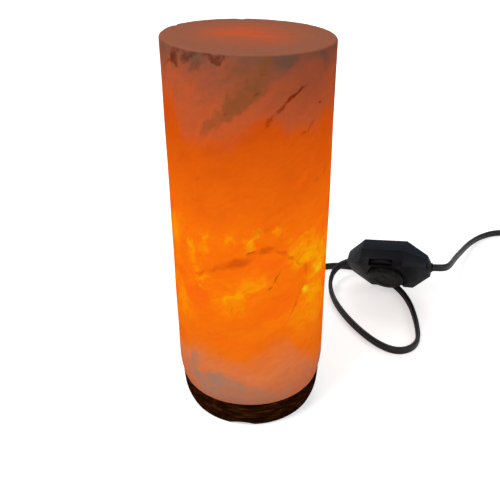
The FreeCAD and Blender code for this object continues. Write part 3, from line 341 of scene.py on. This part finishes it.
def make_world():
    world = bpy.data.worlds.new("studio")
    world.use_nodes = True
    bpy.context.scene.world = world
    tree = world.node_tree
    background = tree.nodes["Background"]
    background.inputs["Color"].default_value = (1, 1, 1, 1)
    rays = tree.nodes.new("ShaderNodeLightPath").outputs
    seen = tree.nodes.new("ShaderNodeMath")
    seen.operation = "MAXIMUM"
    tree.links.new(rays["Is Camera Ray"], seen.inputs[0])
    tree.links.new(rays["Is Transmission Ray"], seen.inputs[1])
    strength = tree.nodes.new("ShaderNodeMapRange")
    strength.inputs["To Min"].default_value = 0.32
    strength.inputs["To Max"].default_value = 1.0
    tree.links.new(seen.outputs[0], strength.inputs["Value"])
    tree.links.new(strength.outputs[0], background.inputs["Strength"])


def make_light(name, place, size, power, aim=(0.06, 0.05, 0.08)):
    light = bpy.data.lights.new(name, "AREA")
    light.shape = "DISK"
    light.size = size
    light.energy = power
    lamp = bpy.data.objects.new(name, light)
    bpy.context.collection.objects.link(lamp)
    lamp.location = place
    towards = Vector(aim) - Vector(place)
    lamp.rotation_euler = towards.to_track_quat("-Z", "Y").to_euler()


def make_lights():
    make_light("key_light", (-0.9, -0.7, 1.3), 0.9, 18)
    make_light("fill_light", (1.1, -0.8, 0.9), 1.0, 6)
    make_light("back_light", (0.3, 1.2, 1.2), 0.8, 5)


# Flex. The routes are places along it in metres, chosen as the photograph shows it,
# and past the view as it would be put away.

LAMP_SIDE_ROUTE = [
    (0.0, 0.0663, 0.0055),
    (0.0, 0.076, 0.0055),
    (0.0016, 0.087, 0.0042),
    (0.006, 0.099, 0.00335),
    (0.017, 0.121, 0.00335),
    (0.036, 0.145, 0.00335),
    (0.060, 0.163, 0.00335),
    (0.085, 0.1695, 0.00335),
    (0.106, 0.1635, 0.00335),
    (0.124, 0.147, 0.00335),
    (0.136, 0.127, 0.00335),
    (0.141, 0.104, 0.00335),
    (0.141, 0.081, 0.00335),
    (0.139, 0.060, 0.00335),
    (0.136, 0.046, 0.00335),
    (0.128, 0.0355, 0.00335),
    (0.1165, 0.0325, 0.00335),
    (0.105, 0.0395, 0.00335),
    (0.094, 0.055, 0.00335),
    (0.084, 0.0755, 0.00335),
    (0.0765, 0.098, 0.00335),
    (0.073, 0.116, 0.0048),
    (0.0732, 0.129, 0.0078),
    (0.0758, 0.1385, 0.011),
    (0.0802, 0.1446, 0.0143),
    (0.0859, 0.1466, 0.0179),
    (0.0914, 0.1457, 0.0204),
]

PLUG_SIDE_ROUTE = [
    (0.1581, 0.1073, 0.0362),
    (0.1633, 0.1068, 0.0362),
    (0.1683, 0.1082, 0.0353),
    (0.1726, 0.1118, 0.034),
    (0.1766, 0.118, 0.032),
    (0.182, 0.1285, 0.0284),
    (0.1905, 0.147, 0.0224),
    (0.204, 0.173, 0.0138),
    (0.221, 0.202, 0.0072),
    (0.239, 0.223, 0.0042),
    (0.258, 0.233, 0.00415),
    (0.278, 0.232, 0.00415),
    (0.2965, 0.2225, 0.00415),
    (0.3127, 0.210, 0.00415),
]

TAIL_ROUTE = [
    (0.3449, 0.150, 0.0102),
    (0.3453, 0.137, 0.0082),
    (0.3453, 0.124, 0.0066),
    (0.3453, 0.112, 0.0064),
]


def coil_route():
    """Turns inwards in the lower layer, and outwards again in the upper one."""
    turned = COIL_ENTRY + 2 * math.pi * COIL_TURNS
    steps = round(COIL_STEPS * turned / (2 * math.pi))
    points = []
    for i in range(steps + 1):
        share = i / steps
        angle = COIL_ENTRY - turned * share
        radius = COIL_RADIUS + COIL_PITCH * (4 * abs(share - 0.5) - 1)
        rise = min(max((share - 0.5) / COIL_CLIMB + 0.5, 0), 1)
        points.append((
            COIL_MIDDLE.x + radius * math.cos(angle),
            COIL_MIDDLE.y + radius * math.sin(angle),
            COIL_LOW + COIL_PITCH * rise,
        ))
    return points


def spline_line(route):
    """The points of the smooth line that a NURBS spline makes of a route."""
    curve = bpy.data.curves.new("route", "CURVE")
    curve.dimensions = "3D"
    curve.resolution_u = 6
    spline = curve.splines.new("NURBS")
    spline.points.add(len(route) - 1)
    for control, place in zip(spline.points, route):
        control.co = (*place, 1)
    spline.order_u = 3
    spline.use_endpoint_u = True
    holder = bpy.data.objects.new("route", curve)
    line = bpy.data.meshes.new_from_object(holder)
    points = [vertex.co.copy() for vertex in line.vertices]
    bpy.data.objects.remove(holder)
    bpy.data.meshes.remove(line)
    return points


def flex_section():
    """A figure of eight around the two cores, as pairs across and along the width."""
    offset = FLEX_WIDTH / 2 - FLEX_CORE
    section = []
    for side in (1, -1):
        for i in range(9):
            angle = math.radians(-118 + 236 * i / 8)
            across = FLEX_CORE * math.sin(angle) * side
            along = (offset + FLEX_CORE * math.cos(angle)) * side
            section.append((across, along))
    return section


def sweep_flex(name, line, lies_flat_until=0.0):
    """Sweeps the section along a line. It stands on edge, but for a flat start."""
    section = flex_section()
    rings = []
    gone = 0.0
    for i, place in enumerate(line):
        ahead = (line[min(i + 1, len(line) - 1)] - line[max(i - 1, 0)]).normalized()
        if i:
            gone += (place - line[i - 1]).length
        width = (UP - ahead * UP.dot(ahead)).normalized()
        if lies_flat_until:
            share = min(gone / lies_flat_until, 1)
            laid = 1 - share * share * (3 - 2 * share)
            width = Matrix.Rotation(laid * math.pi / 2, 3, ahead) @ width
        side = ahead.cross(width)
        rings.append([place + side * across + width * along for across, along in section])
    points, faces = ring_mesh(rings, closed_ends=True)
    piece = mesh_from(name, points, faces)
    return smooth_shaded(piece, 50)


def make_flex():
    lamp_line = spline_line(LAMP_SIDE_ROUTE)
    lamp_flex = sweep_flex("lamp_flex", lamp_line, lies_flat_until=0.05)
    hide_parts("cord_to_dimmer")
    plug_line = spline_line([*PLUG_SIDE_ROUTE, *coil_route(), *TAIL_ROUTE])
    plug_flex = sweep_flex("plug_flex", plug_line)
    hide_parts("cord_to_coil", "cord_coil", "cord_to_plug")
    recipe = pvc_recipe("flex_pvc", tone(26, 26, 29), 0.42)
    finish_with(lamp_flex, recipe)
    finish_with(plug_flex, recipe)
    for node in ("cord_in_base", "holder_wires", "dimmer_flex_ends"):
        dress(node, recipe)


def pvc_recipe(name, colour, roughness):
    """Soft black plastic with faint mottling and fine grain."""
    recipe = Recipe(name)
    mottle = recipe.noise(240, detail=4)
    darker = tuple(c * 0.7 for c in colour[:3]) + (1,)
    recipe.set(
        Base_Color=recipe.mix(mottle, darker, colour),
        Roughness=recipe.fit(mottle, 0.3, 0.7, roughness - 0.06, roughness + 0.08),
        Specular_IOR_Level=0.4,
    )
    recipe.bump(recipe.noise(2600, detail=2), 0.02 * MM)
    return recipe


# Salt

# Colours by height above the floor in mm: the lit middle, the dim top and the pale foot
LIT_TONES = [
    (50, tone(230, 108, 20)),
    (90, tone(250, 116, 10)),
    (145, tone(250, 112, 10)),
    (220, tone(204, 78, 12)),
]
TOP_TONES = [
    (200, tone(210, 90, 36)),
    (235, tone(170, 82, 50)),
    (256, tone(112, 76, 60)),
]
FOOT_TONES = [
    (21, tone(172, 104, 80)),
    (50, tone(220, 120, 68)),
    (74, tone(232, 112, 34)),
]

# Where the lit middle ends, round the front from left to right and up, in mm
TOP_LIMIT = [
    (-160, 214), (-80, 222), (-60, 226), (-45, 214), (-32, 204), (-15, 206), (0, 214), (12, 221),
    (22, 213), (40, 210), (52, 217), (64, 214), (90, 206), (160, 214),
]
FOOT_LIMIT = [
    (-160, 62), (-80, 56), (-60, 54), (-46, 61), (-30, 66), (-12, 63), (2, 64), (12, 73), (24, 74),
    (32, 64), (42, 52), (60, 42), (90, 58), (160, 62),
]

# Marks on the front: place round and up, half length, half width, tilt up to the right and
# strength. Sizes are in mm.
# Painted light: patches where the glow through the salt is brighter and yellower
BRIGHT_GLOW_PATCHES = [
    (-41, 136, 8, 6, 80, 0.5), (-37, 128, 7, 6, 30, 0.4), (-28, 149, 6, 3.5, 20, 0.5),
    (-30, 140, 8, 6, 30, 0.3), (-14, 148, 6, 4, 60, 0.55), (-2, 146, 9, 6, 45, 0.55),
    (3, 152, 9, 5, 45, 0.5), (19, 151, 7, 5, 60, 0.5), (33, 143, 9, 6, 20, 0.45),
    (-33, 118, 10, 5, 10, 0.5), (-30, 110, 5, 3, 0, 0.5), (-8, 110, 15, 9, 35, 0.6),
    (3, 118, 12, 7, 40, 0.5), (-12, 103, 14, 8, 20, 0.3), (40, 132, 18, 12, -30, 0.8),
    (32, 138, 11, 7, -30, 0.55), (52, 126, 20, 14, -40, 0.75), (50, 116, 14, 10, -25, 0.9),
    (40, 106, 10, 6, 0, 0.9), (50, 100, 18, 10, -30, 0.6), (44, 86, 26, 16, -20, 0.35),
    (21, 127, 4, 2.5, 30, 0.5), (-54, 92, 18, 14, 90, 0.3), (-58, 138, 22, 10, 90, 0.25),
]
# Painted light: the brightest spots of the glow
BRIGHTEST_GLOW_SPOTS = [
    (39, 106, 6, 3.5, -10, 0.75), (53, 117, 8, 6, -30, 0.6), (46, 121, 4, 2.5, -20, 0.4),
    (-41, 137, 3, 3, 0, 0.2), (0, 148, 4, 2, 45, 0.2),
]
WARM_PATCHES = [
    (-37, 104, 15, 12, 0, 0.7), (-16, 74, 30, 8, 0, 0.3), (14, 131, 22, 9, -12, 0.5),
    (18, 100, 16, 12, 60, 0.4), (-52, 114, 10, 8, 0, 0.5), (30, 182, 14, 5, 30, 0.5),
]
# Painted shadows in the glow along the crystal's fractures, and darker orange streaks in the salt
FRACTURE_SHADOWS_AND_STREAKS = [
    (-8, 133.5, 14, 5, 20, 0.75), (-20, 128, 10, 2.5, 25, 0.5), (-33, 123, 6, 1.4, 25, 0.6),
    (0, 141, 6, 2, 20, 0.75), (10, 141.5, 8, 2.4, 0, 0.65), (20, 138.5, 6, 2, -25, 0.55),
    (27, 134.5, 5, 1.8, -35, 0.6), (33, 129.5, 5, 1.8, -45, 0.5), (37.5, 122, 7, 1.4, -72, 0.5),
    (35, 109, 7, 1.6, 60, 0.55), (29, 98, 13, 2, 66, 0.4), (4, 215, 18, 6, 38, 0.7),
    (-18, 204, 22, 6, 28, 0.5), (-40, 195, 16, 4, 25, 0.3), (-32, 184, 4, 1.4, 30, 0.5),
    (45, 178, 4, 2.5, 0, 0.45), (55, 183, 5, 3, 20, 0.5), (8, 155, 12, 3, 20, 0.3),
]
RED_CRACKS = [
    (26, 232.3, 11, 1.5, 33, 0.95), (19, 226.8, 5, 1.5, 35, 0.7), (12, 220.5, 7, 1.8, 48, 0.5),
    (17.5, 122.5, 7, 1.3, 62, 0.6), (12, 114.5, 4, 1.1, 55, 0.45), (45, 225, 2.6, 1.4, -20, 0.7),
    (39, 214, 6, 1.8, 35, 0.4), (33, 211, 3.5, 1.4, 20, 0.35), (3, 236, 3.5, 1.3, 20, 0.4),
    (-12, 226, 3, 1.3, 45, 0.35), (0, 141.6, 3.5, 0.8, 25, 0.5), (-14, 100, 2.5, 0.8, 60, 0.2),
]
BROWN_VEIN = [
    (9.5, 250, 10, 5, 80, 0.95), (4, 240, 12, 8, 50, 0.95), (-5, 233.5, 14, 7.5, 32, 0.85),
    (-14, 226, 13, 6, 40, 0.7), (-21, 217, 13, 5.5, 50, 0.55), (-5, 246, 20, 10, 25, 0.5),
    (-45, 232, 10, 4, 30, 0.3), (62, 231, 8, 6, 60, 0.5), (-26, 231, 6, 3, 30, 0.25),
]
DARK_STAINS = [
    (-49.5, 249, 6, 4.5, 40, 0.9), (-36, 250, 9, 3, 25, 0.75), (-20, 254, 7, 2.4, 20, 0.8),
    (-55, 245, 10, 3, 30, 0.5), (-30, 246, 7, 2, 30, 0.35), (-43, 253.5, 9, 2.6, 15, 0.5),
]
GREY_CLOUDS = [
    (-22, 41, 17, 11, 10, 0.95), (-37, 36, 14, 9, 0, 0.8), (-44, 47, 11, 9, 60, 0.65),
    (-28, 30, 20, 8, 0, 0.8), (-9, 37, 14, 8, 0, 0.65), (8, 32, 12, 6, 0, 0.6),
    (-2, 28, 22, 5, 0, 0.5), (25, 30, 14, 5, 0, 0.4),
]


def spread(recipe, along, up, shift, reach):
    """Two vectors for marks: the place round and the place up, each in all three parts."""
    vectors = []
    for value, moved in ((along, shift["X"]), (up, shift["Y"])):
        place = recipe.math("ADD", value, recipe.math("MULTIPLY", moved, reach))
        vectors.append(recipe.add("ShaderNodeCombineXYZ", {0: place, 1: place, 2: place}).outputs[0])
    return vectors


def marks(recipe, place, items):
    """The strength of the nearest of some soft oval marks."""
    total = None
    for along, up, length, width, tilt, strength in items:
        turn = math.radians(tilt)
        by_along = Vector((math.cos(turn) / length, -math.sin(turn) / width, 0))
        by_up = Vector((math.sin(turn) / length, math.cos(turn) / width, 0))
        middle = by_along * along + by_up * up
        raised = recipe.scaled_and_moved(place[1], by_up / MM, -middle)
        oval = recipe.scaled_and_moved(place[0], by_along / MM, raised)
        mask = recipe.fit(recipe.vector("LENGTH", oval), 0.2, 1.0, strength, 0)
        total = mask if total is None else recipe.math("MAXIMUM", total, mask)
    return total


def by_height(recipe, height, tones):
    low, high = tones[0][0], tones[-1][0]
    share = recipe.fit(height, low * MM, high * MM, smooth=False)
    return recipe.ramp(share, [((z - low) / (high - low), colour) for z, colour in tones])


def salt_recipe(radius):
    recipe = Recipe("rock_salt")
    x, y, z = (recipe.part(axis) for axis in "XYZ")
    angle = recipe.math("ARCTAN2", x, recipe.math("MULTIPLY", y, -1.0))
    along = recipe.math("MULTIPLY", angle, radius)
    shift = recipe.noise(75, detail=5, roughness=0.6, colour=True)
    centred = recipe.vector("SUBTRACT", shift, (0.5, 0.5, 0.5))
    shifts = recipe.add("ShaderNodeSeparateXYZ", {0: centred}).outputs
    spot = spread(recipe, along, z, shifts, 12 * MM)
    blurred = spread(recipe, along, z, shifts, 30 * MM)
    cloud = recipe.noise(30, detail=4)
    wave = recipe.math("MULTIPLY", recipe.math("SUBTRACT", cloud, 0.5), 0.04)
    height = recipe.math("ADD", z, wave)

    # Layers of the crystal, which rise to the right as seen from the front
    tilted = recipe.add("ShaderNodeMapping", {
        "Vector": recipe.vector("ADD", recipe.place, recipe.scaled(centred, (0.016, 0.016, 0.016))),
        "Rotation": (0.2, math.radians(30), 0),
    }).outputs[0]
    layered = recipe.scaled(tilted, (0.25, 0.5, 1))
    layers = recipe.noise(70, detail=5, roughness=0.6, place=layered)
    fine = recipe.noise(420, detail=4, roughness=0.6, place=layered)
    off_front = recipe.fit(recipe.math("ABSOLUTE", along), 45 * MM, 80 * MM, 0.25, 1)

    # The lit middle
    lit_tone = by_height(recipe, height, LIT_TONES)
    glow = recipe.math("MULTIPLY", recipe.fit(z, 66 * MM, 92 * MM), recipe.fit(z, 172 * MM, 146 * MM))
    deep = recipe.math("MULTIPLY", recipe.fit(layers, 0.52, 0.34), recipe.fit(off_front, 0, 1, 0.1, 0.6))
    lit_tone = recipe.mix(deep, lit_tone, tone(222, 78, 13))
    light = recipe.math("MULTIPLY", recipe.fit(layers, 0.5, 0.66), recipe.math("MULTIPLY", glow, off_front))
    lit_tone = recipe.mix(recipe.math("MULTIPLY", light, 0.85), lit_tone, tone(250, 160, 8))
    lit_tone = recipe.mix(marks(recipe, blurred, WARM_PATCHES), lit_tone, tone(250, 98, 16))
    # Painted light: brighter, yellower patches of the glow
    yellow = marks(recipe, blurred, BRIGHT_GLOW_PATCHES)
    yellow = recipe.math("MULTIPLY", yellow, recipe.fit(fine, 0.34, 0.6, 0.55, 1.1))
    lit_tone = recipe.mix(yellow, lit_tone, tone(248, 166, 6))
    # Painted light: the brightest spots of the glow
    lit_tone = recipe.mix(marks(recipe, spot, BRIGHTEST_GLOW_SPOTS), lit_tone, tone(244, 196, 30))

    # The dim top and the pale foot
    top_tone = by_height(recipe, height, TOP_TONES)
    top_tone = recipe.mix(recipe.fit(layers, 0.42, 0.62, 0, 0.3), top_tone, tone(206, 84, 36))
    top_tone = recipe.mix(marks(recipe, blurred, BROWN_VEIN), top_tone, tone(132, 76, 42))
    foot_tone = by_height(recipe, height, FOOT_TONES)
    foot_tone = recipe.mix(recipe.fit(layers, 0.6, 0.36, 0, 0.35), foot_tone, tone(214, 104, 44))
    foot_tone = recipe.mix(marks(recipe, blurred, GREY_CLOUDS), foot_tone, tone(160, 120, 98))
    into_top = recipe.math("SUBTRACT", height, recipe.curve(along, TOP_LIMIT, 190, 240))
    into_foot = recipe.math("SUBTRACT", recipe.curve(along, FOOT_LIMIT, 30, 90), height)
    colour = recipe.mix(recipe.fit(into_top, -7 * MM, 9 * MM), lit_tone, top_tone)
    colour = recipe.mix(recipe.fit(into_foot, -6 * MM, 9 * MM), colour, foot_tone)

    # Marks that cross all three
    # Painted shadow along the fractures, and darker orange streaks
    colour = recipe.mix(marks(recipe, spot, FRACTURE_SHADOWS_AND_STREAKS), colour, tone(204, 78, 12))
    colour = recipe.mix(marks(recipe, spot, RED_CRACKS), colour, tone(124, 36, 8))
    colour = recipe.mix(marks(recipe, blurred, DARK_STAINS), colour, tone(96, 44, 26))
    inclusions = recipe.fit(recipe.noise(380, detail=2), 0.7, 0.8, 0, 0.35)
    colour = recipe.mix(inclusions, colour, tone(160, 58, 18))
    shade = recipe.fit(fine, 0.3, 0.7, 0.96, 1.03)
    toned = recipe.add("ShaderNodeCombineColor", {0: shade, 1: shade, 2: shade}).outputs[0]
    colour = recipe.mix(1.0, colour, toned, blend="MULTIPLY")
    # Painted highlight: a pale line along the salt's lower edge, where it meets the base
    painted_edge_highlight = recipe.fit(z, 22.2 * MM, 21.5 * MM, 0, 0.7)
    colour = recipe.mix(painted_edge_highlight, colour, tone(226, 160, 122))

    # The sawn top, which the bulb's light hardly reaches
    flat = recipe.add("ShaderNodeCombineXYZ", {0: x, 1: y}).outputs[0]
    reach = recipe.vector("LENGTH", flat)
    sawn = recipe.noise(60, detail=5, roughness=0.6, place=recipe.scaled(tilted, (0.3, 1, 0.5)))
    inner = recipe.fit(reach, 44 * MM, 6 * MM)
    heart = recipe.math("MULTIPLY", inner, recipe.fit(sawn, 0.36, 0.62, 0.45, 1))
    upper = recipe.mix(heart, tone(150, 92, 70), tone(192, 88, 52))
    upper = recipe.mix(recipe.fit(fine, 0.5, 0.72, 0, 0.3), upper, tone(142, 80, 62))
    levelled = recipe.math("ADD", z, recipe.math("MULTIPLY", x, SALT_TOP_SLOPE))
    is_top = recipe.fit(levelled, 254.1 * MM, 255.2 * MM)
    colour = recipe.mix(is_top, colour, upper)

    lit = recipe.math("MULTIPLY", recipe.fit(z, 238 * MM, 196 * MM), recipe.fit(z, 24 * MM, 66 * MM, 0.25, 1))
    own_light = recipe.fit(lit, 0, 1, 0.12, 0.8, smooth=False)
    lent = recipe.math("SUBTRACT", 1.0, own_light)
    black = (0, 0, 0, 1)
    recipe.set(
        Base_Color=recipe.mix(lent, black, colour),
        Emission_Color=recipe.mix(own_light, black, colour),
        Emission_Strength=1.0,
        Roughness=recipe.fit(cloud, 0.3, 0.7, 0.4, 0.6),
        Specular_IOR_Level=0.0,
    )
    recipe.bump(recipe.math("ADD", recipe.noise(300, detail=5), fine), 0.12 * MM)
    return recipe


def make_salt():
    """The turned block with a sawn, sloping top, uneven skin and a few chips at its rim."""
    low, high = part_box("salt_cylinder")
    radius = high.x
    foot = radius - SALT_FOOT_INSET
    floor = low.z
    height = high.z - SALT_TOP_SLOPE * radius - floor
    rounding = SALT_TOP_ROUNDING
    profile = []
    for i in range(7):
        turn = math.radians(15 * i)
        rise = CAVITY_STRAIGHT + CAVITY_DOME * math.cos(turn)
        profile.append((CAVITY_RADIUS * math.sin(turn), rise))
    profile += [(CAVITY_RADIUS, CAVITY_STRAIGHT * (1 - i / 12)) for i in range(1, 13)]
    sole = foot - SALT_EDGE_ROUNDING
    profile += [(CAVITY_RADIUS + (sole - CAVITY_RADIUS) * i / 6, 0) for i in range(1, 7)]
    for i in range(1, 4):
        turn = math.radians(30 * i)
        rise = SALT_EDGE_ROUNDING * (1 - math.cos(turn))
        profile.append((sole + SALT_EDGE_ROUNDING * math.sin(turn), rise))
    wall_low = SALT_EDGE_ROUNDING
    wall_high = height - rounding
    for i in range(1, 131):
        rise = wall_low + (wall_high - wall_low) * i / 130
        left = 1 - min(rise / SALT_FOOT_RISE, 1)
        profile.append((radius - SALT_FOOT_INSET * left * left, rise))
    for i in range(1, 7):
        turn = math.radians(90 * i / 6)
        profile.append((radius - rounding * (1 - math.cos(turn)), wall_high + rounding * math.sin(turn)))
    profile += [((radius - rounding) * (1 - i / 28), height) for i in range(1, 28)]

    around = 240
    rings = []
    for reach, rise in profile:
        ring = []
        for j in range(around):
            turn = 2 * math.pi * j / around
            x = max(reach, 0.02 * MM) * math.cos(turn)
            y = max(reach, 0.02 * MM) * math.sin(turn)
            stretch = 1 - SALT_TOP_SLOPE * x / height
            ring.append(Vector((x, y, floor + rise * stretch)))
        rings.append(ring)
    points, faces = ring_mesh(rings, closed_ends=True)
    salt = mesh_from("salt_block", [uneven(point, radius, floor, height) for point in points], faces)
    smooth_shaded(salt, 60)
    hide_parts("salt_cylinder")
    finish_with(salt, salt_recipe(radius))


def uneven(point, radius, floor, height):
    """Moves a point of the salt's outside a little, as hand work leaves it."""
    outwards = Vector((point.x, point.y, 0))
    reach = outwards.length / radius
    if reach < 0.6 and point.z < floor + height * 0.9:
        return point
    slow = noise.noise(point * 28) * 0.55 * MM
    quick = noise.noise(point * 130) * 0.14 * MM
    moved = point.copy()
    if reach > 0.9:
        moved += outwards.normalized() * min(0.5 * (slow + quick) - 0.15 * MM, 0)
    near_top = min(max((point.z - floor - height + 3 * MM) / (3 * MM), 0), 1)
    moved.z += near_top * min(slow * 0.4 + quick - 0.1 * MM, 0)
    chip = max(noise.noise(Vector((point.x, point.y, 0)) * 75 + Vector((3, 7, 1))) - 0.32, 0)
    rim = near_top * min(max((reach - 0.93) / 0.06, 0), 1)
    moved -= outwards.normalized() * rim * chip * 4 * MM
    moved.z -= rim * chip * 3 * MM
    return moved


# Wooden base

def make_base():
    recipe = Recipe("stained_wood")
    streaked = recipe.scaled(recipe.place, (0.18, 1, 2.2))
    grain = recipe.noise(300, detail=6, roughness=0.62, place=streaked)
    drawn_out = recipe.scaled(recipe.place, (0.08, 1, 1.4))
    pores = recipe.fit(recipe.noise(1500, detail=2, place=drawn_out), 0.6, 0.72)
    colour = recipe.ramp(grain, [
        (0.32, tone(16, 5, 1)),
        (0.5, tone(34, 13, 3)),
        (0.66, tone(70, 38, 14)),
    ])
    colour = recipe.mix(recipe.math("MULTIPLY", pores, 0.6), colour, tone(14, 8, 4))
    recipe.set(
        Base_Color=colour,
        Roughness=recipe.fit(grain, 0.3, 0.7, 0.42, 0.6),
        Specular_IOR_Level=0.0,
    )
    recipe.bump(recipe.math("SUBTRACT", grain, recipe.math("MULTIPLY", pores, 0.5)), 0.15 * MM)
    dress("wood_base", recipe)


# Plain small pieces

def metal_recipe(name, colour, roughness, grain=900):
    recipe = Recipe(name)
    wear = recipe.noise(grain, detail=4)
    darker = tuple(c * 0.75 for c in colour[:3]) + (1,)
    recipe.set(
        Base_Color=recipe.mix(wear, darker, colour),
        Metallic=1.0,
        Roughness=recipe.fit(wear, 0.3, 0.7, roughness - 0.08, roughness + 0.1),
    )
    recipe.bump(recipe.noise(grain * 3, detail=2), 0.01 * MM)
    return recipe


def moulded_recipe(name, colour, roughness, grain=1800, depth=0.03):
    """Moulded plastic: an even colour with slight wear and a fine eroded grain."""
    recipe = Recipe(name)
    wear = recipe.noise(160, detail=5, roughness=0.6)
    worn = tuple(min(c * 1.5 + 0.004, 1) for c in colour[:3]) + (1,)
    recipe.set(
        Base_Color=recipe.mix(recipe.fit(wear, 0.45, 0.75), colour, worn),
        Roughness=recipe.fit(wear, 0.3, 0.7, roughness - 0.06, roughness + 0.1),
        Specular_IOR_Level=0.45,
    )
    recipe.bump(recipe.noise(grain, detail=3), depth * MM)
    return recipe


def glass_recipe(name, colour, roughness):
    recipe = Recipe(name)
    haze = recipe.noise(120, detail=3)
    recipe.set(
        Base_Color=colour,
        Transmission_Weight=0.95,
        Roughness=recipe.fit(haze, 0.3, 0.7, roughness, roughness + 0.05),
        IOR=1.5,
    )
    return recipe


def dress_small_pieces():
    steel = metal_recipe("zinc_steel", tone(200, 198, 190), 0.35)
    brass = metal_recipe("socket_brass", tone(214, 176, 96), 0.3)
    nickel = metal_recipe("bulb_cap_nickel", tone(206, 205, 200), 0.28)
    aluminium = metal_recipe("sink_aluminium", tone(196, 197, 199), 0.4)
    bakelite = moulded_recipe("black_bakelite", tone(24, 23, 24), 0.34)
    rubber = moulded_recipe("black_rubber", tone(30, 30, 31), 0.6, grain=1200, depth=0.05)
    nylon = moulded_recipe("grey_nylon", tone(168, 168, 163), 0.5)
    white_nylon = moulded_recipe("shaft_nylon", tone(226, 224, 216), 0.45)
    black_case = moulded_recipe("component_black", tone(30, 30, 31), 0.5)
    board = moulded_recipe("green_board", tone(46, 116, 72), 0.4, grain=700)
    capacitor = moulded_recipe("capacitor_yellow", tone(224, 172, 58), 0.3)
    ferrite = moulded_recipe("choke_ferrite", tone(120, 74, 42), 0.6)
    resistor = moulded_recipe("resistor_tan", tone(206, 178, 138), 0.45)
    glass = glass_recipe("bulb_clear_glass", (0.97, 0.97, 0.95, 1), 0.02)
    glowing = metal_recipe("tungsten", tone(240, 200, 150), 0.4)
    glowing.set(Emission_Color=(1.0, 0.55, 0.2, 1), Emission_Strength=1.0)
    for recipe, nodes in (
        (steel, ("base_screws", "spring_clips", "terminal_screws", "case_screws", "holder_flange")),
        (brass, ("screw_shell", "centre_contact", "contact_rivets", "terminal_plates", "plug_blades")),
        (nickel, ("bulb_screw_cap", "bulb_tip_contact")),
        (aluminium, ("heat_sink", "potentiometer")),
        (bakelite, ("holder_body", "holder_cap", "bulb_insulator")),
        (rubber, ("base_feet", "cord_grommet", "dimmer_glands")),
        (nylon, ("wall_plugs",)),
        (white_nylon, ("dial_shaft",)),
        (black_case, ("triac", "cord_bridges", "coil_tie")),
        (board, ("circuit_board",)),
        (capacitor, ("capacitor",)),
        (ferrite, ("choke",)),
        (resistor, ("board_resistors",)),
        (glass, ("bulb_glass", "glass_stem")),
        (glowing, ("filament", "lead_wires")),
    ):
        for node in nodes:
            dress(node, recipe)


# Dimmer

def dimmer_recipe():
    """Blue-black plastic, lighter on the back half, with painted shade in the seam between the shells and a
    painted shadow band around the front's rim.
    """
    recipe = moulded_recipe("dimmer_plastic", tone(14, 18, 28), 0.42, depth=0.02)
    offset = recipe.vector("SUBTRACT", recipe.place, DIAL_MIDDLE)
    ahead = recipe.vector("DOT_PRODUCT", offset, DIAL_AXIS)
    seam, seam_shade_width = DIMMER_SEAM, DIMMER_SEAM_SHADE_WIDTH
    back, front = -DIMMER_HALF_DEPTH, DIMMER_HALF_DEPTH
    share = recipe.fit(ahead, back, front, smooth=False)
    # Painted shade: dark bands in the seam between the shells and around the front's rim; the back half is a
    # lighter tone
    stops = (
        (back, tone(26, 33, 46)),
        (seam - 1.4 * seam_shade_width, tone(24, 31, 43)),
        (seam - 0.6 * seam_shade_width, tone(2, 3, 5)),
        (seam + 0.6 * seam_shade_width, tone(2, 3, 5)),
        (seam + 1.4 * seam_shade_width, tone(15, 19, 29)),
        (front - 4.6 * MM, tone(14, 18, 27)),
        (front - 3.4 * MM, tone(7, 8, 12)),
        (front - 0.9 * MM, tone(7, 8, 12)),
        (front - 0.3 * MM, tone(12, 15, 23)),
    )
    colour = recipe.ramp(share, [((at - back) / (front - back), tint) for at, tint in stops])
    recipe.set(Base_Color=colour, Specular_IOR_Level=0.2)
    return recipe


def make_dimmer():
    shell = dimmer_recipe()
    dial = moulded_recipe("dial_plastic", tone(7, 7, 9), 0.42)
    dial.set(Specular_IOR_Level=0.25)
    front = bevelled_copy("dimmer_front_shell", 0.45 * MM)
    back = bevelled_copy("dimmer_back_shell", 0.45 * MM)
    knob = bevelled_copy("dimmer_dial", 0.3 * MM, body="dial")
    finish_with(front, shell)
    finish_with(back, shell)
    finish_with(knob, dial)


# Plug

def make_plug():
    recipe = pvc_recipe("plug_pvc", tone(28, 28, 30), 0.4)
    dress("plug_body", recipe)
    low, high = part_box("plug_strain_relief")
    middle = (low + high) / 2
    tip, root = 4.1 * MM, 5.2 * MM
    ribs, rib_depth = 9, 0.9 * MM
    rings = []
    steps = 60
    for i in range(steps + 1):
        share = i / steps
        radius = root + (tip - root) * share
        ribbed = 0.12 < share < 0.92 and (share * ribs) % 1 < 0.42
        radius -= rib_depth if ribbed else 0
        y = low.y + (high.y - low.y) * share
        ring = []
        for j in range(32):
            turn = 2 * math.pi * j / 32
            ring.append(Vector((middle.x + radius * math.cos(turn), y, middle.z + radius * math.sin(turn))))
        rings.append(ring)
    points, faces = ring_mesh(rings, closed_ends=True)
    relief = smooth_shaded(mesh_from("plug_relief_ribbed", points, faces), 30)
    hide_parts("plug_strain_relief")
    finish_with(relief, recipe)


set_view()
make_camera()
make_floor()
make_world()
make_lights()
make_plug()
make_flex()
make_salt()
make_base()
dress_small_pieces()
make_dimmer()
